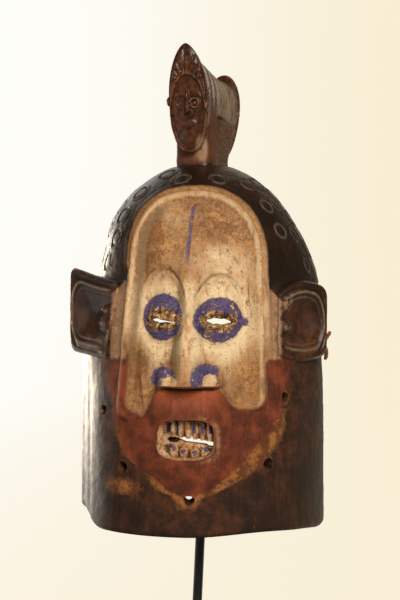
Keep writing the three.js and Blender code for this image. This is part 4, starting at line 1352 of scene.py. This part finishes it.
# %% Clay, red and blue paint
def clay_paint(finish):
    """Ochre clay, mottled brown and orange, with cream where the last coat has stayed, and painted shade
    and highlight.
    """
    cream = finish.zone("cream")
    amount = cream + finish.mixed(blotch=1.6, fleck=1.32, fine=1.08, streak=1.2) - 2.6
    dull = finish.mixed(broad=0.4, blotch=0.3, fleck=0.3) + cream * -0.3
    clay = finish.lay(OCHRE, BROWN, 0.43, 0.57, blotch=0.4, fleck=0.33, fine=0.27)
    clay = finish.lay(clay, ORANGE, 0.46, 0.62, 0.6, broad=0.5, streak=0.5)
    clay = finish.blend(amount.smooth(-0.1, 0.35) * 0.8, clay, PALE)
    clay = finish.blend(amount.smooth(0.3, 0.75), clay, CREAM)
    clay = finish.lay(clay, BROWN, 0.53, 0.62, cream * -0.5 + 0.75, fine=0.55, fleck=0.45)
    clay = finish.lay(clay, RUST, 0.55, 0.66, cream * -0.45 + 0.72, streak=0.4, fleck=0.6)
    clay = finish.blend(dull.smooth(0.42, 0.6) * 0.5, clay, BROWN)
    clay = finish.lay(clay, ORANGE, 0.53, 0.64, 0.55, streak=0.5, blotch=0.5)
    clay = finish.lay(clay, WARM, 0.44, 0.36, 0.5, fleck=0.5, streak=0.5)
    clay = finish.lay(clay, WARM, 0.55, 0.64, 0.6, streak=0.6, fine=0.4)
    clay = finish.lay(clay, ORANGE, 0.38, 0.58, finish.zone("gilt") * 0.75, streak=1)
    # Painted shade: a warm dark line under each brow's arch.
    clay = finish.blend(finish.zone("brow_line") * (finish.mixed(fleck=0.6) + 0.4), clay, WARM)
    # The bead's crest is painted cream: worn coat and a painted highlight.
    clay = finish.lay(clay, CREAM, 0.3, 0.55, finish.zone("bead_wear_and_highlight") * 0.7, streak=1)
    # Painted shade: olive in the groove inside the bead and on the nose's left flank.
    return finish.blend(finish.zone("groove") * (finish.mixed(streak=0.5) + 0.55), clay, OLIVE_SHADE)


def red_paint(finish):
    """Brick red rubbed dark, with a streak of the grain here and there, and painted light over the mouth.
    """
    red = finish.lay(RED, RED_DARK, 0.36, 0.62, broad=0.45, blotch=0.55)
    # Painted light: the block over the mouth and its seams are painted brighter brick.
    red = finish.blend(finish.zone("lip_block") * 0.7, red, BRICK)
    red = finish.lay(red, BLACK, 0.54, 0.68, 0.5, grain=0.5, fleck=0.5)
    red = finish.lay(red, BRICK, 0.54, 0.66, 0.16, hair=1)
    red = finish.lay(red, RED_DARK, 0.46, 0.36, 0.3, hair=1)
    return finish.lay(red, REDDISH, 0.56, 0.68, 0.5, fine=0.6, blotch=0.4)


def blue_paint(finish):
    """Blue paint gone violet and grey, with the clay showing in worn flecks."""
    blue = finish.lay(BLUE, VIOLET_GREY, 0.44, 0.58, 0.8, fleck=0.6, fine=0.4)
    blue = finish.lay(blue, BROWN, 0.5, 0.58, 0.6, blotch=0.5, fleck=0.3, fine=0.2)
    blue = finish.lay(blue, PALE, 0.55, 0.61, 0.85, fleck=0.36, fine=0.24, blotch=0.4)
    return finish.lay(blue, BLACK, 0.46, 0.38, 0.7, blotch=0.5, fine=0.5)


# %% Paint of the sides, lids and teeth
def side_clay(finish):
    """The rubbed clay on the strips beside the frame, with pale flecks and bare cracks."""
    side = finish.lay(ROSE, BROWN, 0.4, 0.62, 0.6, blotch=0.5, fleck=0.5)
    side = finish.lay(side, PALE, 0.52, 0.64, 0.7, fine=0.5, streak=0.5)
    return finish.lay(side, WARM, 0.47, 0.38, 0.5, fleck=0.5, blotch=0.5)


def worn_lids(finish):
    """Clay flaking off the lids, down to black wood."""
    worn = finish.lay(BLACK, OCHRE, 0.4, 0.64, fleck=0.8, blotch=0.2)
    return finish.lay(worn, CREAM, 0.56, 0.64, fleck=0.7, fine=0.3)


def mouth_clay(finish):
    """Stained clay on the teeth and gums."""
    stained = finish.lay(PALE, ORANGE, 0.42, 0.58, streak=0.5, fleck=0.5)
    return finish.lay(stained, BROWN, 0.48, 0.6, 0.8, fine=0.5, fleck=0.5)


# %% Bare wood
def bare_wood(finish, bend):
    """Nearly black patina, brown where it is rubbed through, dusty in the cut rings, with painted
    reflection, shade and highlights on the crest and ears.
    """
    zone = finish.zone
    wood = finish.lay(DARK, WARM, 0.44, 0.66, 0.7, blotch=0.4, broad=0.3, fleck=0.3)
    wood = finish.lay(wood, BLACK, 0.44, 0.62, 0.6, grain=0.7, fleck=0.3)
    worn_edge = (bend + finish.mixed(fleck=0.8) - 0.4).smooth(0.35, 1.2)
    wood = finish.blend(worn_edge * 0.6, wood, WARM)
    wood = finish.lay(wood, REDDISH, 0.35, 0.65, zone("crest_in") * 0.6, fleck=1)
    wood = finish.blend(zone("cap_in") * 0.6, wood, BLACK)
    wood = finish.blend(zone("dusty_ring") * (finish.mixed(fleck=0.5) + 0.12), wood, DUST_AND_SHEEN)
    # Painted reflection: pale grey patches on one side of the crest's barrel.
    reflection_patches = finish.mixed(streak=0.6, fleck=0.4).smooth(0.36, 0.6) * 0.6 + 0.25
    wood = finish.blend(zone("barrel_reflection") * reflection_patches, wood, DUST_AND_SHEEN)
    # Painted shade: the grooves of the crest's combed hair are darkened towards black.
    wood = finish.blend(zone("comb") * 0.8, wood, BLACK)
    wood = finish.lay(wood, ORANGE, 0.3, 0.7, zone("crest_rim") * 0.7, fleck=1)
    wood = finish.lay(wood, REDDISH, 0.25, 0.6, zone("neck") * 0.8, blotch=1)
    wood = finish.blend(zone("neck_rear") * 0.9, wood, finish.lay(BROWN, DARK, 0.44, 0.56, fine=1))
    # Painted highlights: pale lines on the ears' double bead, and rose on their lobes, weaker on the left
    # ear.
    wood = finish.blend(zone("ear_line_highlight") * finish.mixed(fleck=0.9), wood, DUST_AND_SHEEN)
    wood = finish.lay(wood, ROSE, 0.4, 0.58, zone("ear_lobe") * 0.75, fleck=1)
    # Painted highlight: a rose patch on the front of the crest's neck.
    return finish.blend(zone("neck_highlight").smooth(0, 0.5) * 0.7, wood, ROSE)


# %% Coats on the wood
def mask_noises(finish):
    """Noises from broad clouds to fine dots; grain, streaks and hairs run up and down."""
    return {
        "broad": finish.noise(38, 2.0),
        "blotch": finish.noise(13, 4.0, 0.6),
        "fleck": finish.noise(4.5, 5.0, 0.7, shift=3.0),
        "fine": finish.noise(1.8, 2.0, 0.6, shift=7.0),
        "grain": finish.noise(5, 4.0, 0.6, stretch=(1, 1, 0.12)),
        "streak": finish.noise(6, 4.0, 0.65, stretch=(1, 1, 0.3), shift=5.0),
        "hair": finish.noise(2.0, 3.0, 0.6, stretch=(1, 1, 0.35), shift=9.0),
    }


def painted_skin(finish, skin):
    """The coats in the order in which they lie; noise frays the edge of each stored zone."""
    ragged = finish.mixed(fleck=9, fine=4, blotch=6) - 9.5
    blue = blue_paint(finish)

    def frayed(name, wear, low, high):
        """A soft step over a zone's distance after noise, times its wear, is added to it."""
        return (finish.zone(name) + ragged * wear).smooth(low, high)

    def coats(skin, *rows):
        """Each paint laid in turn over the skin, inside the frayed edge of its zone."""
        for name, wear, low, high, paint in rows:
            skin = finish.blend(frayed(name, wear, low, high), skin, paint)
        return skin

    rubbed = frayed("beard_in", 1.5, -60, -10) * 0.35
    skin = finish.lay(skin, REDDISH, 0.4, 0.62, rubbed, blotch=0.5, fleck=0.5)
    skin = coats(
        skin,
        ("ochre_in", 1.7, -1, 5, finish.lay(GOLDEN, WARM, 0.42, 0.56, fleck=0.4, blotch=0.6)),
        ("side_in", 0.6, -1, 3, side_clay(finish)),
        ("beard_in", 0.6, -2.5, 2.5, red_paint(finish)),
    )
    # The lip's right edge is painted rose: wear and a painted highlight.
    skin = finish.lay(skin, ROSE, 0.35, 0.6, finish.zone("lip_edge_wear_and_highlight") * 0.8, fleck=1)
    skin = coats(
        skin,
        ("clay_in", 0.4, -1.6, 1.6, clay_paint(finish)),
        ("eye_in", 0.6, -0.8, 0.8, blue),
        ("lid_in", 0.07, -0.08, 0.12, worn_lids(finish)),
        ("nose_blue_in", 0.8, -0.8, 0.8, blue),
        ("nose_worn_in", 0.1, 0.0, 0.15, finish.lay(PALE, OCHRE, 0.5, 0.58, fleck=0.6, fine=0.4)),
    )
    skin = finish.blend(frayed("line_away", 0.4, 2.6, 0.9) * 0.85, skin, blue)
    skin = finish.blend(finish.zone("scratch_away").smooth(1.0, 0.3) * 0.7, skin, WARM)
    skin = finish.blend(finish.zone("bowl_in") * 0.95, skin, mouth_clay(finish))
    return coats(skin, ("tooth_blue", 0.15, -0.5, 0.5, blue))


# %% The mask's finish
def mask_finish():
    """Wood, paint, grime and painted shade in the creases, and polish on the edges, over one shared relief.
    """
    finish = Finish("carved_wood")
    finish.noises = mask_noises(finish)
    zone = finish.zone
    bend = zone("bend")
    skin = painted_skin(finish, bare_wood(finish, bend))
    # Creases are darkened towards black: grime and painted shade.
    crease_grime_and_shade = bend.smooth(-0.2, -1.0) * (0.85 - zone("clay_in").smooth(0, 4) * 0.55)
    skin = finish.blend(crease_grime_and_shade, skin, BLACK)
    polished = (bend + finish.mixed(fleck=1.2) - 0.6).smooth(0.5, 1.3) * zone("edge_in").smooth(0, -2)
    skin = finish.blend(polished * 0.5, skin, ROSE)

    dusty = zone("dusty_ring") * 0.3 + zone("barrel_reflection") * 0.15 + zone("neck") * 0.25
    painted = zone("edge_in").smooth(-0.5, 1) * 0.3
    dull = zone("wall_in") * 0.22 - zone("crest_in") * 0.08
    roughness = painted + dusty + dull + finish.mixed(fleck=0.25) + 0.235
    height = finish.mixed(blotch=0.3, fleck=0.5, fine=0.35, grain=0.2)
    return finish.surface(height, 0.55, Base_Color=skin, Roughness=roughness, Specular_IOR_Level=0.3)


def dress(thing, material):
    """Gives a piece one material in place of what it had."""
    thing.data.materials.clear()
    thing.data.materials.append(material)


dress(mask, mask_finish())
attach(mask, "root")
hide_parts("mask")
print("nodes in the mask's finish:", len(mask.data.materials[0].node_tree.nodes))

# %% [markdown]
# ## The stand
# Rod, fork and plate are mild steel with a satin black coat. Their CAD shapes are right already,
# so they only get a finish, with a trace of brushing under the paint.


# %% Black steel
def steel_finish():
    """Satin black with faint clouds, and a fine bump drawn out along the rod."""
    finish = Finish("black_steel")
    cloud = finish.noise(9, 3.0)
    brushed = finish.noise(2.0, 2.0, stretch=(1, 1, 0.2))
    base = finish.blend(cloud.smooth(0.3, 0.8), colour(22, 22, 24), colour(40, 38, 36))
    return finish.surface(brushed, 0.06, Base_Color=base, Roughness=cloud * 0.15 + 0.38, Metallic=0.3)


black_steel = steel_finish()
for node in ("stand_rod", "stand_base"):
    dress(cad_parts[node], black_steel)
print("steel finish on the rod and the plate:", black_steel.name)

# %% [markdown]
# ## The fibre tie
# A stiff end of twisted plant fibre is still caught in the hole behind the right ear. Three
# strands wound round one line look like cord at this size.

# %% Twisted strands
TIE_CORNERS = [(-17, -2, -2), (-8, -1, 0), (1, 0, 0.5), (4.8, 0, -3), (5.4, 0, -9), (4.4, 0, -14)]
STUB_CORNERS = [(1, 0, 0.5), (5, 0, 6), (9.5, 0, 13)]


def length_one(vectors):
    """The same directions with a length of one."""
    return vectors / np.linalg.norm(vectors, axis=1, keepdims=True)


def strand(path, radius, turns, phase):
    """A strand: a circle carried along a path, circling round it as it goes."""
    share = np.linspace(0, 1, len(path))
    along = length_one(np.gradient(path, axis=0))
    side = length_one(np.cross(along, (0, 1, 0)))
    other = np.cross(along, side)
    wind = 2 * np.pi * turns * share + phase
    middle = path + 0.5 * radius * (np.cos(wind)[:, None] * side + np.sin(wind)[:, None] * other)
    around = full_turn(14)
    taper = (0.62 * radius * (1 - 0.55 * step(0.85, 1, share)))[:, None, None]
    circle = np.cos(around)[None, :, None] * side[:, None] + np.sin(around)[None, :, None] * other[:, None]
    return solid_of_rings("fibre_strand", middle[:, None] + taper * circle)


def smooth_path(corners, count):
    """Points along a smooth line through a few corners, by soft cubic blending."""
    share = np.linspace(0, len(corners) - 1, count)
    padded = np.concatenate([2 * corners[:1] - corners[1:2], corners, 2 * corners[-1:] - corners[-2:-1]])
    cell = np.minimum(share.astype(int), len(corners) - 2)
    t = (share - cell)[:, None]
    a, b, c, d = (padded[cell + i] for i in range(4))
    return 0.5 * (2 * b + (c - a) * t + (2 * a - 5 * b + 4 * c - d) * t**2 + (3 * b - a - 3 * c + d) * t**3)


# %% The tie in its hole
def fibre_finish():
    """Dry plant fibre, browned in clouds, with a bump for its threads."""
    finish = Finish("dry_fibre")
    thread = finish.noise(0.9, 2.0)
    cloud = finish.noise(6, 2.0)
    base = finish.blend(cloud.smooth(0.35, 0.65), colour(178, 104, 40), colour(92, 58, 30))
    return finish.surface(thread, 0.3, Base_Color=base, Roughness=thread * 0.3 + 0.6)


hole_angle, hole_height, _ = TIE_HOLES[-1]
hole_x, hole_y, _ = dome_point(np.radians(hole_angle), hole_height)
tie_middle = np.array([hole_x, hole_y, hole_height])
strands = []
for corners, radius, turns in ((TIE_CORNERS, 1.9, 3), (STUB_CORNERS, 1.7, 1.4)):
    path = smooth_path(np.array(corners) + tie_middle, 70)
    strands += [strand(path, radius, turns, phase) for phase in (0, 2.1, 4.2)]
tie = combine(strands[0], strands[1:], "UNION")
tie.name = "fibre_tie_visual"
tie.data.name = tie.name
for face in tie.data.polygons:
    face.use_smooth = True
dress(tie, fibre_finish())
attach(tie, "root")
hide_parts("fibre_tie")
print("triangles of the tie:", count_triangles(tie.data))

# %% [markdown]
# ## Floor, light and camera
# The photograph was taken against a pale warm paper, with one soft light from the right and above
# and a low one from behind that grazes the left wall. The paper is a sweep: floor and wall in one
# bent sheet, so that no edge shows. It glows by itself, so that its tone doesn't hang on the lights.

# %% Shape of the paper
BEND_RADIUS = 1.2
FLOOR_NEAR = -4.0
FLOOR_FAR = 3.0
PAPER_TOP = 5.0
PAPER_HALF_WIDTH = 5.0


def paper_sweep():
    """A profile of floor, quarter circle and wall, carried across from left to right."""
    turn = np.linspace(-np.pi / 2, 0, 24)
    wall_y = FLOOR_FAR + BEND_RADIUS
    bend = [FLOOR_FAR + BEND_RADIUS * np.cos(turn), BEND_RADIUS + BEND_RADIUS * np.sin(turn)]
    flat = [(FLOOR_NEAR, 0.0), (FLOOR_FAR, 0.0)]
    profile = np.concatenate([flat, np.stack(bend, -1), [(wall_y, PAPER_TOP)]])
    across = np.linspace(-PAPER_HALF_WIDTH, PAPER_HALF_WIDTH, 12)
    index = np.arange(len(across) * len(profile)).reshape(len(across), len(profile))
    points = np.column_stack([np.repeat(across, len(profile)), np.tile(profile, (len(across), 1))])
    quads = np.stack([index[:-1, :-1], index[1:, :-1], index[1:, 1:], index[:-1, 1:]], -1)
    paper = mesh_object("paper", points, quads.reshape(-1, 4).tolist())
    for face in paper.data.polygons:
        face.use_smooth = True
    return paper


# %% Tone of the paper
def mix_share(share, none, full):
    """A field that goes from one number to another as the share goes from 0 to 1."""
    return share * (full - none) + none


def paper_finish():
    """Pale paper that glows on the wall and darkens on the floor and towards the right."""
    finish = Finish("warm_paper")
    axes = finish.place.node("ShaderNodeSeparateXYZ", Vector=finish.place)
    back = finish.place.node("ShaderNodeSeparateXYZ", output=1, Vector=finish.place)
    tone = finish.blend(axes.smooth(-1.2, 0.4), colour(254, 253, 248), colour(248, 238, 212))
    glow = mix_share(back.smooth(0.0, 0.2), 0.3, 1.0) * mix_share(axes.smooth(0.7, 2.2), 1.0, 0.15)
    glow = glow * mix_share(axes.smooth(-1.35, -2.2), 1.0, 1.9)
    return finish.output(finish.place.node("ShaderNodeEmission", Color=tone, Strength=glow))


paper = paper_sweep()
paper.data.materials.append(paper_finish())
print("faces of the paper:", len(paper.data.polygons))

# %% Lights
MIDDLE = Vector((0, 0, 0.36))
LIGHTS = [
    ("key", (0.75, -1.7, 1.15), 0.8, 38, (1, 0.97, 0.92)),
    ("fill", (-1.6, -0.9, 0.6), 1.0, 6, (1, 0.9, 0.76)),
    ("left_wall", (-1.5, 1.55, 0.2), 1.1, 38, (1, 0.84, 0.64)),
]
ROOM_COLOUR = (1.0, 0.84, 0.64, 1)
ROOM_STRENGTH = 0.11


def soft_light(name, place, size, power, tint):
    """A square area light that looks at the middle of the mask."""
    lamp = bpy.data.lights.new(name, "AREA")
    lamp.size = size
    lamp.energy = power
    lamp.color = tint
    light = in_scene(name, lamp)
    light.location = place
    light.rotation_euler = (MIDDLE - Vector(place)).to_track_quat("-Z", "Y").to_euler()


for row in LIGHTS:
    soft_light(*row)
world = bpy.data.worlds.new("room")
bpy.context.scene.world = world
world.use_nodes = True
room = world.node_tree.nodes["Background"].inputs
room["Color"].default_value = ROOM_COLOUR
room["Strength"].default_value = ROOM_STRENGTH
bpy.context.scene.view_settings.view_transform = "Standard"
print("lights:", [row[0] for row in LIGHTS])

# %% [markdown]
# ## The camera
# The picture was taken from a little to the right of the mask, level with its eyes and about
# 1.3 m away. The eye slits, the rim's curve and the width of the dome fix these numbers.

# %% Camera
CAMERA_TURN = np.radians(6)
CAMERA_AWAY = 1.265
CAMERA_ASIDE = 0.002
CAMERA_HEIGHT = 0.336
LENS = 79.8
looking = np.array([-np.sin(CAMERA_TURN), np.cos(CAMERA_TURN), 0])
to_right = np.array([np.cos(CAMERA_TURN), np.sin(CAMERA_TURN), 0])
camera_data = bpy.data.cameras.new("camera")
camera_data.lens = LENS
camera = in_scene("camera", camera_data)
camera.location = -looking * CAMERA_AWAY - to_right * CAMERA_ASIDE + (0, 0, CAMERA_HEIGHT)
camera.rotation_euler = Vector(looking).to_track_quat("-Z", "Y").to_euler()
bpy.context.scene.camera = camera
print("camera at:", [round(value, 3) for value in camera.location])
